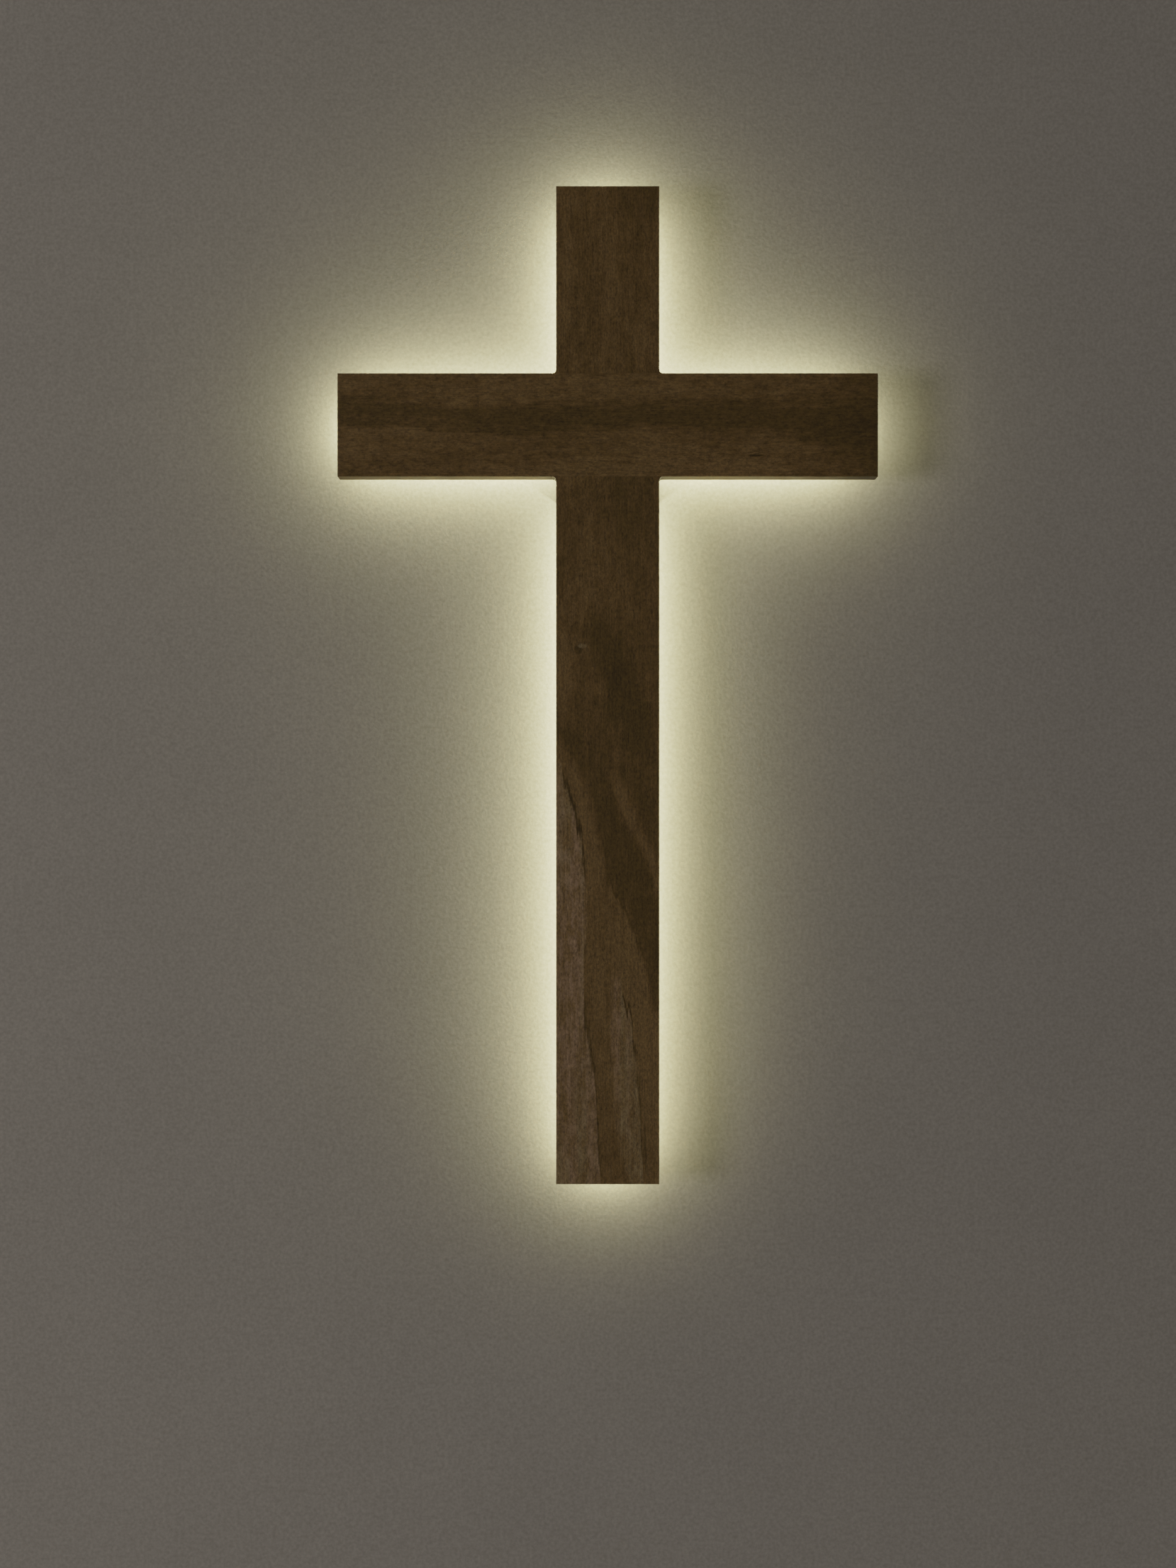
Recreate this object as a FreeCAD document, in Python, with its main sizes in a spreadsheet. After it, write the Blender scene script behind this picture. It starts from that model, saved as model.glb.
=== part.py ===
"""A backlit wooden wall cross: two half-lapped boards that stand off the wall, with three light strips
stuck to their backs, a battery case with a slide switch, and a hanging block with a keyhole plate.

The frame: +Z is up, +X is the viewer's right, and the front faces -Y. The wall is the plane y = 0, and
the origin lies on it, midway between the entries of the two keyholes. A depth below is the distance in
front of the wall, so it is measured along -Y.
"""

import FreeCAD, Part
import math
import os
import re

import Sketcher

DIMENSIONS = {
    # the two boards
    "upright_length": 600,
    "upright_width": 62,
    "crossbar_length": 325,
    "crossbar_width": 62,
    "board_thickness": 18,
    "top_arm": 112.5,
    "inner_radius": 2.2,
    "arris": 0.3,
    "wall_gap": 20,
    "crossing_drop": 18,
    # the hanging block and its keyhole plate
    "block_width": 50,
    "block_height": 24,
    "block_rise": 1,
    "block_chamfer": 0.6,
    "plate_width": 43,
    "plate_height": 20,
    "plate_thickness": 1.5,
    "plate_corner": 2,
    "keyhole_spacing": 22,
    "keyhole_entry": 9,
    "keyhole_slot": 4.6,
    "keyhole_rise": 6.5,
    "head_room_width": 10,
    "head_room_rise": 9.5,
    "head_room_depth": 5,
    "channel_side": 13.2,
    "channel_width": 5.5,
    "channel_depth": 2.4,
    # the screws
    "plate_screw_spacing": 18.4,
    "plate_screw_length": 8,
    "plate_screw_head": 4.4,
    "plate_screw_shank": 2.2,
    "block_screw_spacing": 43,
    "block_screw_length": 18,
    "block_screw_head": 6.6,
    "block_screw_shank": 3.5,
    "case_screw_spacing": 18,
    "case_screw_length": 12,
    "case_screw_head": 4.8,
    "case_screw_shank": 2.4,
    "recess_width": 0.7,
    # the battery case and its cover
    "case_drop": 27,
    "case_length": 54,
    "case_height": 40,
    "case_wall": 1.6,
    "case_corner": 2,
    "case_gap": 0.5,
    "lip": 0.7,
    "groove_height": 1.5,
    "groove_depth": 0.8,
    "bay_depth": 11.4,
    "case_floor": 1.4,
    "cradle_height": 4.6,
    "cradle_width": 1,
    "cradle_length": 38,
    "post_diameter": 6,
    "notch_depth": 2.7,
    "side_notch_place": 20.2,
    "side_notch_width": 6.4,
    "foot_notch_width": 8.4,
    "cover_play": 0.15,
    "cover_side_play": 0.2,
    "cover_end_play": 0.3,
    "ridge_height": 0.5,
    "ridge_width": 0.9,
    "ridge_length": 14,
    "ridge_pitch": 2,
    "ridge_place": 13,
    "arrow_place": 9,
    "arrow_length": 7,
    "arrow_width": 9,
    "arrow_depth": 0.35,
    # the cells and their contacts
    "cell_pitch": 12,
    "cell_length": 44.5,
    "cell_diameter": 10.3,
    "cell_depth": 8.4,
    "base_round": 0.7,
    "crimp_place": 2.1,
    "crimp_width": 1.2,
    "crimp_depth": 0.25,
    "crimp_ease": 0.3,
    "nub_diameter": 3.8,
    "nub_height": 1,
    "nub_round": 0.2,
    "contact_thickness": 0.4,
    "contact_width": 9.2,
    "contact_near": 3.4,
    "contact_far": 13.2,
    "tail_width": 3,
    "tail_end": 17.6,
    "slit": 0.7,
    "slit_play": 0.1,
    "spring_wire": 0.5,
    "spring_base": 7.6,
    "spring_turns": 4,
    "spring_tip": 5,
    # the slide switch
    "switch_drop": 9,
    "switch_depth": 17.8,
    "switch_length": 8.6,
    "switch_width": 3.6,
    "switch_height": 4,
    "switch_travel": 2,
    "slider_base": 4.4,
    "slider_base_width": 1.8,
    "slider_base_height": 1,
    "slider_play": 0.3,
    "knob_length": 3.2,
    "knob_width": 1.6,
    "knob_reach": 1.6,
    "knob_groove": 0.4,
    "terminal_pitch": 2.5,
    "terminal_length": 2.5,
    "terminal_width": 0.8,
    "terminal_thickness": 0.4,
    # the light strips
    "strip_width": 10,
    "strip_thickness": 0.35,
    "led_pitch": 33.3333,
    "led_side": 5,
    "led_height": 1.6,
    "led_notch": 0.9,
    "window_mouth": 4.2,
    "window_floor": 3.4,
    "window_depth": 0.8,
    "window_dip": 0.1,
    "resistor_length": 3.2,
    "resistor_width": 1.6,
    "resistor_height": 0.55,
    "resistor_place": 9.5,
    "across_margin": 9,
    "across_count": 9,
    "upper_start": 32,
    "upper_count": 3,
    "lower_start": 48,
    "lower_count": 12,
    # the wiring
    "lead_diameter": 1.2,
    "solder_gap": 0.1,
}

doc = FreeCAD.newDocument("BacklitCross")
sheet = doc.addObject("Spreadsheet::Sheet", "Dims")
for row, (word, number) in enumerate(DIMENSIONS.items(), start=1):
    sheet.set(f"A{row}", word)
    sheet.set(f"B{row}", str(number))
    sheet.setAlias(f"B{row}", word)
doc.recompute()

# Depths and places that many pieces share, as formulas of the sheet's cells.
BOARD_BACK = "wall_gap"
LAP = "(wall_gap + board_thickness / 2)"
BOARD_FRONT = "(wall_gap + board_thickness)"
CROSSING = "(-crossing_drop)"
SEAM_TOP = "(crossbar_width / 2 - crossing_drop)"
SEAM_FOOT = "(-crossbar_width / 2 - crossing_drop)"
UPRIGHT_TOP = "(crossbar_width / 2 - crossing_drop + top_arm)"
UPRIGHT_FOOT = "(crossbar_width / 2 - crossing_drop + top_arm - upright_length)"
BLOCK_TOP = "(block_rise + block_height / 2)"
BLOCK_FOOT = "(block_rise - block_height / 2)"
CASE = "(-crossing_drop - case_drop)"
CASE_INSIDE = "(case_height / 2 - case_wall)"
CASE_END_INSIDE = "(case_length / 2 - case_wall)"
BAY_FLOOR = "(case_gap + lip + groove_height + bay_depth)"
CAVITY_FLOOR = "(case_gap + lip + groove_height + bay_depth + case_floor)"
SWITCH = "(-crossing_drop - case_drop - switch_drop)"
SWITCH_BACK = "(case_length / 2 - case_wall - switch_height)"
STRIP_FACE = "(wall_gap - strip_thickness)"


def bound(formula):
    """The formula with each of the sheet's words written as a reference to its cell."""
    return re.sub(r"[a-z_]{2,}", lambda m: f"Dims.{m[0]}" if m[0] in DIMENSIONS else m[0], str(formula))


def body(label, x=0, z=0, turn=0):
    """An empty body, at x and z in the plane of the wall, turned by some degrees about Y."""
    made = doc.addObject("PartDesign::Body", label)
    made.Label = label
    made.Placement = FreeCAD.Placement(FreeCAD.Vector(), FreeCAD.Rotation(FreeCAD.Vector(0, 1, 0), turn))
    made.setExpression("Placement.Base.x", bound(x))
    made.setExpression("Placement.Base.z", bound(z))
    return made


def origin_feature(of_body, role):
    return next(f for f in of_body.Origin.OriginFeatures if f.Role == role)


def sketch(of_body, role, offset=(0, 0, 0)):
    """An empty sketch on one of the body's origin planes. On XZ_Plane it shows x and z, and its offset's
    last number is a depth; on YZ_Plane it shows y and z; on XY_Plane it shows x and y."""
    made = of_body.newObject("Sketcher::SketchObject", of_body.Name + "_sketch")
    made.AttachmentSupport = (origin_feature(of_body, role), [""])
    made.MapMode = "FlatFace"
    for letter, formula in zip("xyz", offset):
        made.setExpression(f"AttachmentOffset.Base.{letter}", bound(formula))
    return made


def place_point(on_sketch, geometry, end, point):
    for kind, formula in zip(("DistanceX", "DistanceY"), point):
        index = on_sketch.addConstraint(Sketcher.Constraint(kind, -1, 1, geometry, end, 1.0))
        on_sketch.setExpression(f"Constraints[{index}]", bound(formula))


def polygon(on_sketch, points):
    """A closed outline of straight lines, with each corner held at its formulas."""
    count = len(points)
    rough = [FreeCAD.Vector(math.cos(a), math.sin(a), 0) for a in
             (math.tau * (i + 0.5) / count for i in range(count))]
    lines = [on_sketch.addGeometry(Part.LineSegment(rough[i], rough[(i + 1) % count])) for i in range(count)]
    for i, line in enumerate(lines):
        on_sketch.addConstraint(Sketcher.Constraint("Coincident", line, 2, lines[(i + 1) % count], 1))
    for line, point in zip(lines, points):
        place_point(on_sketch, line, 1, point)


def rectangle(on_sketch, left, right, low, high):
    polygon(on_sketch, [(right, high), (left, high), (left, low), (right, low)])


def circle(on_sketch, centre, diameter):
    round_edge = on_sketch.addGeometry(Part.Circle(FreeCAD.Vector(), FreeCAD.Vector(0, 0, 1), 1))
    place_point(on_sketch, round_edge, 3, centre)
    index = on_sketch.addConstraint(Sketcher.Constraint("Diameter", round_edge, 2.0))
    on_sketch.setExpression(f"Constraints[{index}]", bound(diameter))


def extrude(of_body, drawn, length, cut=False, backwards=False):
    """A pad along the sketch plane's normal, or a pocket cut the same way; backwards turns either round."""
    kind = "PartDesign::Pocket" if cut else "PartDesign::Pad"
    before = of_body.Shape.Volume if cut else 0
    made = of_body.newObject(kind, of_body.Name + ("_pocket" if cut else "_pad"))
    made.Profile = drawn
    made.setExpression("Length", bound(length))
    made.Reversed = cut != backwards
    doc.recompute()
    if cut and of_body.Shape.Volume > before - 1e-6:
        raise RuntimeError(f"{made.Name} cuts nothing from {of_body.Label}")
    return made


def layer(of_body, draw, near, far, cut=False):
    """A pad or pocket between two depths: draw makes its outline in x and z."""
    drawn = sketch(of_body, "XZ_Plane", (0, 0, near))
    draw(drawn)
    return extrude(of_body, drawn, f"({far}) - ({near})", cut)


def slab(of_body, left, right, low, high, near, far, cut=False):
    return layer(of_body, lambda s: rectangle(s, left, right, low, high), near, far, cut)


def turned(of_body, points, centre=(0, 0, 0), axis="V_Axis", cut=False):
    """A solid or a hole turned about an axis of its own sketch, which shows x and y."""
    drawn = sketch(of_body, "XY_Plane", centre)
    polygon(drawn, points)
    before = of_body.Shape.Volume if cut else 0
    kind = "PartDesign::Groove" if cut else "PartDesign::Revolution"
    made = of_body.newObject(kind, of_body.Name + ("_groove" if cut else "_turning"))
    made.Profile = drawn
    made.ReferenceAxis = (drawn, [axis])
    made.Angle = 360
    doc.recompute()
    if cut and of_body.Shape.Volume > before - 1e-6:
        raise RuntimeError(f"{made.Name} cuts nothing from {of_body.Label}")
    return made


def repeat(of_body, features, step, count, along="X_Axis"):
    """The features again, count times in all, a step apart."""
    pattern = of_body.newObject("PartDesign::LinearPattern", of_body.Name + "_row")
    pattern.Originals = features
    pattern.Direction = (origin_feature(of_body, along), [""])
    pattern.setExpression("Length", bound(f"({step}) * ({count} - 1)"))
    pattern.setExpression("Occurrences", bound(count))
    of_body.Tip = pattern
    doc.recompute()
    return pattern


def dress(of_body, kind, size, wanted):
    """A fillet or chamfer on the edges of the body that wanted picks."""
    dressed = of_body.Tip
    names = [f"Edge{i}" for i, edge in enumerate(dressed.Shape.Edges, start=1) if wanted(edge)]
    made = of_body.newObject(f"PartDesign::{kind}", f"{of_body.Name}_{kind.lower()}")
    made.Base = (dressed, names)
    made.setExpression("Radius" if kind == "Fillet" else "Size", bound(size))
    doc.recompute()
    return made


def lies_at(edge, depth):
    """True if the whole edge is in the plane at a depth."""
    return abs(edge.BoundBox.YMin + depth) < 0.01 and abs(edge.BoundBox.YMax + depth) < 0.01


def runs_along(edge, axis):
    """True if a straight edge runs along the named axis."""
    if not isinstance(edge.Curve, Part.Line):
        return False
    return abs(getattr(edge.Curve.Direction, axis)) > 0.999


def screw_outline(head, shank, length, near, far_sign=1):
    """Half the section of a countersunk screw whose head lies flush at a depth. far_sign is 1 when its tip
    is further from the wall than its head, and -1 when it points at the wall."""
    def at(depth):
        return f"-({near}) - ({far_sign}) * ({depth})"
    cone = f"({head} - {shank}) / 2"
    return [
        (0, at(0)), (f"{head} / 2", at(0)), (f"{shank} / 2", at(cone)),
        (f"{shank} / 2", at(f"{length} - {shank}")), (0, at(length)),
    ]


def screws(label, size, count, spacing, near, x, z, far_sign=1):
    """A row of countersunk cross-head screws. size is the words for head, shank and length."""
    made = body(label, f"{x} - ({spacing}) * ({count} - 1) / 2", z)
    turning = turned(made, screw_outline(*size, near, far_sign))
    arm, half = f"{size[0]} * 0.32", "recess_width / 2"
    drawn = sketch(made, "XZ_Plane", (0, 0, near))
    polygon(drawn, [(f"{sx} * {a}", f"{sz} * {b}") for sx, sz, a, b in (
        (1, 1, half, half), (1, 1, half, arm), (-1, 1, half, arm), (-1, 1, half, half),
        (-1, 1, arm, half), (-1, -1, arm, half), (-1, -1, half, half), (-1, -1, half, arm),
        (1, -1, half, arm), (1, -1, half, half), (1, -1, arm, half), (1, 1, arm, half))])
    recess = extrude(made, drawn, f"{size[0]} * 0.25", cut=True, backwards=far_sign < 0)
    repeat(made, [turning, recess], spacing, count)
    return made


def screw_holes(of_body, size, count, spacing, near, x, z, far_sign=1):
    """The holes that a row of screws fills."""
    hole = turned(of_body, screw_outline(*size, near, far_sign),
                  (f"{x} - ({spacing}) * ({count} - 1) / 2", 0, z), cut=True)
    return repeat(of_body, [hole], spacing, count)


PLATE_SCREW = ("plate_screw_head", "plate_screw_shank", "plate_screw_length")
BLOCK_SCREW = ("block_screw_head", "block_screw_shank", "block_screw_length")
CASE_SCREW = ("case_screw_head", "case_screw_shank", "case_screw_length")


def eased_run(of_body, role, sides, start, length):
    """Takes the sharp arris off the front of a board, along a pair of its long edges. sides is the two
    formulas for where the edges lie across the board."""
    for inward, side in zip((-1, 1), sides):
        drawn = sketch(of_body, role, (0, 0, start))
        front = f"-{BOARD_FRONT}"
        corners = [(side, front), (side, f"{front} + arris"), (f"{side} + {inward} * arris", front)]
        polygon(drawn, [(b, a) for a, b in corners] if role == "YZ_Plane" else corners)
        extrude(of_body, drawn, length, cut=True)


def upright():
    """The long board. Its outline flares by the inner radius where it meets the crossbar's edges."""
    made = body("upright")
    slab(made, "-upright_width / 2", "upright_width / 2", UPRIGHT_FOOT, UPRIGHT_TOP, BOARD_BACK, BOARD_FRONT)
    for side in (-1, 1):
        for seam, away in ((SEAM_TOP, 1), (SEAM_FOOT, -1)):
            corner_fillet(made, side, seam, away)
    slab(made, "-upright_width", "upright_width", SEAM_FOOT, SEAM_TOP, LAP, BOARD_FRONT, cut=True)
    for start, length in ((f"{SEAM_TOP} + inner_radius", "top_arm"),
                          (UPRIGHT_FOOT, f"{SEAM_FOOT} - inner_radius - {UPRIGHT_FOOT}")):
        eased_run(made, "XY_Plane", ("upright_width / 2", "-upright_width / 2"), start, length)
    screw_holes(made, BLOCK_SCREW, 2, "block_screw_spacing", LAP, 0, "block_rise", far_sign=-1)
    screw_holes(made, CASE_SCREW, 2, "case_screw_spacing", BAY_FLOOR, 0, CASE)
    return made


def corner_fillet(of_body, side, seam, away):
    """The small concave web in one inner corner: a square that a round cutter has taken a bite from."""
    edge = f"{side} * upright_width / 2"
    out = f"{edge} + {side} * inner_radius"
    off = f"{seam} + {away} * inner_radius"
    root = f"{side} * (upright_width / 2 - inner_radius)"
    slab(of_body, *sorted_pair(root, out, side), *sorted_pair(seam, off, away), BOARD_BACK, BOARD_FRONT)
    layer(of_body, lambda s: circle(s, (out, off), "inner_radius * 2"), BOARD_BACK, BOARD_FRONT, cut=True)


def sorted_pair(first, second, sign):
    return (first, second) if sign > 0 else (second, first)


def crossbar():
    """The short board, whose face runs unbroken across the crossing."""
    made = body("crossbar")
    slab(made, "-crossbar_length / 2", "crossbar_length / 2", SEAM_FOOT, SEAM_TOP, BOARD_BACK, BOARD_FRONT)
    slab(made, "-upright_width / 2", "upright_width / 2", SEAM_FOOT, SEAM_TOP, BOARD_BACK, LAP, cut=True)
    reach = "crossbar_length / 2 - upright_width / 2 - inner_radius"
    for start in ("-crossbar_length / 2", "upright_width / 2 + inner_radius"):
        eased_run(made, "YZ_Plane", (SEAM_TOP, SEAM_FOOT), start, reach)
    return made


def ease_ends(board, axis):
    """Takes the arris off the two ends of a board's front face."""
    bounds = board.Shape.BoundBox
    ends = (bounds.XMin, bounds.XMax) if axis == "x" else (bounds.ZMin, bounds.ZMax)

    def wanted(edge):
        at_end = min(abs(getattr(edge.BoundBox.Center, axis) - end) for end in ends) < 0.01
        return at_end and lies_at(edge, -bounds.YMin)
    dress(board, "Chamfer", "arris", wanted)


def hanging_block():
    made = body("hanging_block")
    slab(made, "-block_width / 2", "block_width / 2", BLOCK_FOOT, BLOCK_TOP, 0, BOARD_BACK)
    dress(made, "Chamfer", "block_chamfer", lambda e: lies_at(e, 0))
    slab(made, "-plate_width / 2", "plate_width / 2", "block_rise - plate_height / 2",
         "block_rise + plate_height / 2", 0, "plate_thickness", cut=True)
    room_end = "plate_thickness + head_room_depth"
    for side in (-1, 1):
        x = f"{side} * keyhole_spacing / 2"
        layer(made, lambda s: circle(s, (x, 0), "head_room_width"), "plate_thickness", room_end, cut=True)
        slab(made, f"{x} - head_room_width / 2", f"{x} + head_room_width / 2", 0, "head_room_rise",
             "plate_thickness", room_end, cut=True)
    slab(made, "channel_side - channel_width / 2", "channel_side + channel_width / 2", BLOCK_FOOT, BLOCK_TOP,
         "wall_gap - channel_depth", BOARD_BACK, cut=True)
    screw_holes(made, PLATE_SCREW, 3, "plate_screw_spacing", 0, 0, "block_rise")
    screw_holes(made, BLOCK_SCREW, 2, "block_screw_spacing", LAP, 0, "block_rise", far_sign=-1)
    return made


def keyhole_plate():
    """The steel plate let into the block's wall side. A wall screw's head goes in at a round entry, and
    the plate then drops so that its shank stands in the slot above."""
    made = body("keyhole_plate")
    slab(made, "-plate_width / 2", "plate_width / 2", "block_rise - plate_height / 2",
         "block_rise + plate_height / 2", 0, "plate_thickness")
    dress(made, "Fillet", "plate_corner", lambda e: runs_along(e, "y"))
    first = "-keyhole_spacing / 2"
    entry = layer(made, lambda s: circle(s, (first, 0), "keyhole_entry"), 0, "plate_thickness", cut=True)
    slot = slab(made, f"{first} - keyhole_slot / 2", f"{first} + keyhole_slot / 2", 0, "keyhole_rise",
                0, "plate_thickness", cut=True)
    top = layer(made, lambda s: circle(s, (first, "keyhole_rise"), "keyhole_slot"), 0, "plate_thickness",
                cut=True)
    repeat(made, [entry, slot, top], "keyhole_spacing", 2)
    screw_holes(made, PLATE_SCREW, 3, "plate_screw_spacing", 0, 0, "block_rise")
    return made


def battery_case():
    """The moulded case: a bay for three cells that opens to the wall, and under its floor a cavity for
    the switch and the wiring that opens to the board."""
    made = body("battery_case", 0, CASE)
    half, tall = "case_length / 2", "case_height / 2"
    groove = "case_gap + lip"
    slab(made, f"-{half}", half, f"-{tall}", tall, "case_gap", BOARD_BACK)
    dress(made, "Fillet", "case_corner", lambda e: runs_along(e, "y"))
    inside = (f"-{CASE_END_INSIDE}", CASE_END_INSIDE, f"-{CASE_INSIDE}", CASE_INSIDE)
    slab(made, *inside, "case_gap", BAY_FLOOR, cut=True)
    slab(made, *inside, CAVITY_FLOOR, BOARD_BACK, cut=True)
    slab(made, f"-{half} - 1", CASE_END_INSIDE, f"-{CASE_INSIDE} - groove_depth",
         f"{CASE_INSIDE} + groove_depth", groove, f"{groove} + groove_height", cut=True)
    slab(made, f"-{half} - 1", f"-{CASE_END_INSIDE}", f"-{CASE_INSIDE}", CASE_INSIDE,
         "case_gap", groove, cut=True)
    for row in (-1, 1):
        middle = f"{row} * cell_pitch / 2"
        slab(made, "-cradle_length / 2", "cradle_length / 2", f"{middle} - cradle_width / 2",
             f"{middle} + cradle_width / 2", f"{BAY_FLOOR} - cradle_height", CAVITY_FLOOR)
    for side in (-1, 1):
        layer(made, lambda s: circle(s, (f"{side} * case_screw_spacing / 2", 0), "post_diameter"),
              BAY_FLOOR, BOARD_BACK)
    screw_holes(made, CASE_SCREW, 2, "case_screw_spacing", BAY_FLOOR, 0, 0)
    notch = f"{BOARD_BACK} - notch_depth"
    slab(made, "-side_notch_place - side_notch_width / 2", "-side_notch_place + side_notch_width / 2",
         CASE_INSIDE, tall, notch, BOARD_BACK, cut=True)
    slab(made, "-foot_notch_width / 2", "foot_notch_width / 2", f"-{tall}", f"-{CASE_INSIDE}",
         notch, BOARD_BACK, cut=True)
    for left, low in ((f"-{CASE_END_INSIDE}", "cell_pitch - contact_width / 2"),
                      (f"{CASE_END_INSIDE} - slit", "-cell_pitch - contact_width / 2")):
        slab(made, left, f"{left} + slit", f"{low} - slit_play", f"{low} + tail_width + slit_play",
             BAY_FLOOR, CAVITY_FLOOR, cut=True)
    window = sketch(made, "YZ_Plane", (0, 0, CASE_END_INSIDE))
    knob_edge = "knob_length / 2 + slider_play"
    rectangle(window, "-switch_depth - knob_width / 2 - slider_play",
              "-switch_depth + knob_width / 2 + slider_play",
              f"-switch_drop - switch_travel / 2 - ({knob_edge})",
              f"-switch_drop + switch_travel / 2 + {knob_edge}")
    extrude(made, window, "case_wall", cut=True)
    return made


def battery_cover():
    """The cover slides out towards -X, under the lips of the case's two long walls."""
    made = body("battery_cover", 0, CASE)
    near, far = "case_gap + lip + cover_play", "case_gap + lip + groove_height - cover_play"
    across = f"({CASE_INSIDE} + groove_depth - cover_side_play)"
    slab(made, "-case_length / 2", f"{CASE_END_INSIDE} - cover_end_play", f"-{across}", across, near, far)
    ridge = slab(made, "ridge_place - ridge_width / 2", "ridge_place + ridge_width / 2", "-ridge_length / 2",
                 "ridge_length / 2", f"{near} - ridge_height", near)
    repeat(made, [ridge], "ridge_pitch", 5)
    arrow = [("arrow_place", "arrow_width / 2"), ("arrow_place - arrow_length", 0),
             ("arrow_place", "-arrow_width / 2")]
    layer(made, lambda s: polygon(s, arrow), near, f"{near} + arrow_depth", cut=True)
    return made


def cell(label, row, turn):
    """A dry cell, from its negative end at the local origin to the tip of its nub along local +X."""
    facing = -1 if turn else 1
    end = f"{facing} * ({CASE_END_INSIDE} - contact_thickness - cell_length)"
    made = body(label, end, f"{CASE} + {row} * cell_pitch", turn)
    radius, shoulder = "cell_diameter / 2", "(cell_length - nub_height)"
    crimp, crimped = f"{shoulder} - crimp_place", f"{radius} - crimp_depth"
    turned(made, [
        (0, 0), (0, f"{radius} - base_round * 1.6"), ("base_round * 0.4", f"{radius} - base_round * 0.7"),
        ("base_round", radius), (crimp, radius), (f"{crimp} + crimp_ease", crimped),
        (f"{crimp} + crimp_width", crimped),
        (f"{crimp} + crimp_width + crimp_ease", f"{radius} - crimp_ease / 6"),
        (shoulder, f"{radius} - crimp_ease"), (shoulder, "nub_diameter / 2"),
        ("cell_length - nub_round", "nub_diameter / 2"), ("cell_length", "nub_diameter / 2 - nub_round"),
        ("cell_length", 0),
    ], (0, "-cell_depth", 0), "H_Axis")
    return made


def contact_plates():
    """Four plates: the negative end and a link on the left, a link and the positive end on the right."""
    made = body("contact_plates", 0, CASE)
    half = "contact_width / 2"
    near, far, tail = "-contact_near", "-contact_far", "-tail_end"
    for start, link_low, tailed in ((f"-{CASE_END_INSIDE}", "-cell_pitch", "cell_pitch"),
                                    (f"{CASE_END_INSIDE} - contact_thickness", "0", "-cell_pitch")):
        drawn = sketch(made, "YZ_Plane", (0, 0, start))
        rectangle(drawn, far, near, f"{link_low} - {half}", f"{link_low} + cell_pitch + {half}")
        low = f"{tailed} - {half}"
        polygon(drawn, [(near, low), (near, f"{tailed} + {half}"), (far, f"{tailed} + {half}"),
                        (far, f"{low} + tail_width"), (tail, f"{low} + tail_width"), (tail, low)])
        extrude(made, drawn, "contact_thickness")
    return made


def contact_springs():
    """A conical spring at each cell's negative end, wound from its plate to the cell."""
    wire = float(sheet.spring_wire)
    plate = float(sheet.case_length) / 2 - float(sheet.case_wall) - float(sheet.contact_thickness)
    room = 2 * plate - float(sheet.cell_length)
    case = -float(sheet.crossing_drop) - float(sheet.case_drop)
    coils = []
    for row, facing in ((1, 1), (0, -1), (-1, 1)):
        z = case + row * float(sheet.cell_pitch)
        coils.append(coil(FreeCAD.Vector(-facing * plate, -float(sheet.cell_depth), z), facing, room, wire))
    made = doc.addObject("Part::Feature", "contact_springs")
    made.Label = "contact_springs"
    made.Shape = Part.Compound(coils)
    return made


def coil(base, facing, room, wire):
    """A round wire wound in quarter-turn arcs about X, narrowing from its base to its tip."""
    quarters = 4 * int(sheet.spring_turns)
    wide, narrow = float(sheet.spring_base) / 2, float(sheet.spring_tip) / 2

    def at(quarter):
        part_way = quarter / quarters
        radius, angle = wide + (narrow - wide) * part_way, quarter * math.pi / 2
        along = facing * (wire / 2 + (room - wire) * part_way)
        return base + FreeCAD.Vector(along, radius * math.cos(angle), radius * math.sin(angle))
    arcs = [Part.Arc(at(i), at(i + 0.5), at(i + 1)).toShape() for i in range(quarters)]
    first = arcs[0].tangentAt(arcs[0].FirstParameter)
    section = Part.Wire([Part.Circle(at(0), first, wire / 2).toShape()])
    return Part.Wire(arcs).makePipeShell([section], True, False)


def switch_body():
    made = body("switch_body", 0, SWITCH)
    drawn = sketch(made, "YZ_Plane", (0, 0, SWITCH_BACK))
    rectangle(drawn, "-switch_depth - switch_width / 2", "-switch_depth + switch_width / 2",
              "-switch_length / 2", "switch_length / 2")
    extrude(made, drawn, "switch_height")
    room_deep = "slider_base_height + slider_play * 2"
    room = sketch(made, "YZ_Plane", (0, 0, f"{CASE_END_INSIDE} - ({room_deep})"))
    across = "slider_base_width / 2 + slider_play"
    along = "slider_base / 2 + switch_travel / 2 + slider_play"
    rectangle(room, f"-switch_depth - ({across})", f"-switch_depth + {across}", f"-({along})", along)
    extrude(made, room, room_deep, cut=True)
    return made


def switch_terminals():
    made = body("switch_terminals", 0, SWITCH)
    drawn = sketch(made, "YZ_Plane", (0, 0, f"{SWITCH_BACK} - terminal_length"))
    rectangle(drawn, "-switch_depth - terminal_width / 2", "-switch_depth + terminal_width / 2",
              "-terminal_pitch - terminal_thickness / 2", "-terminal_pitch + terminal_thickness / 2")
    pin = extrude(made, drawn, "terminal_length")
    repeat(made, [pin], "terminal_pitch", 3, "Z_Axis")
    return made


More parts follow.
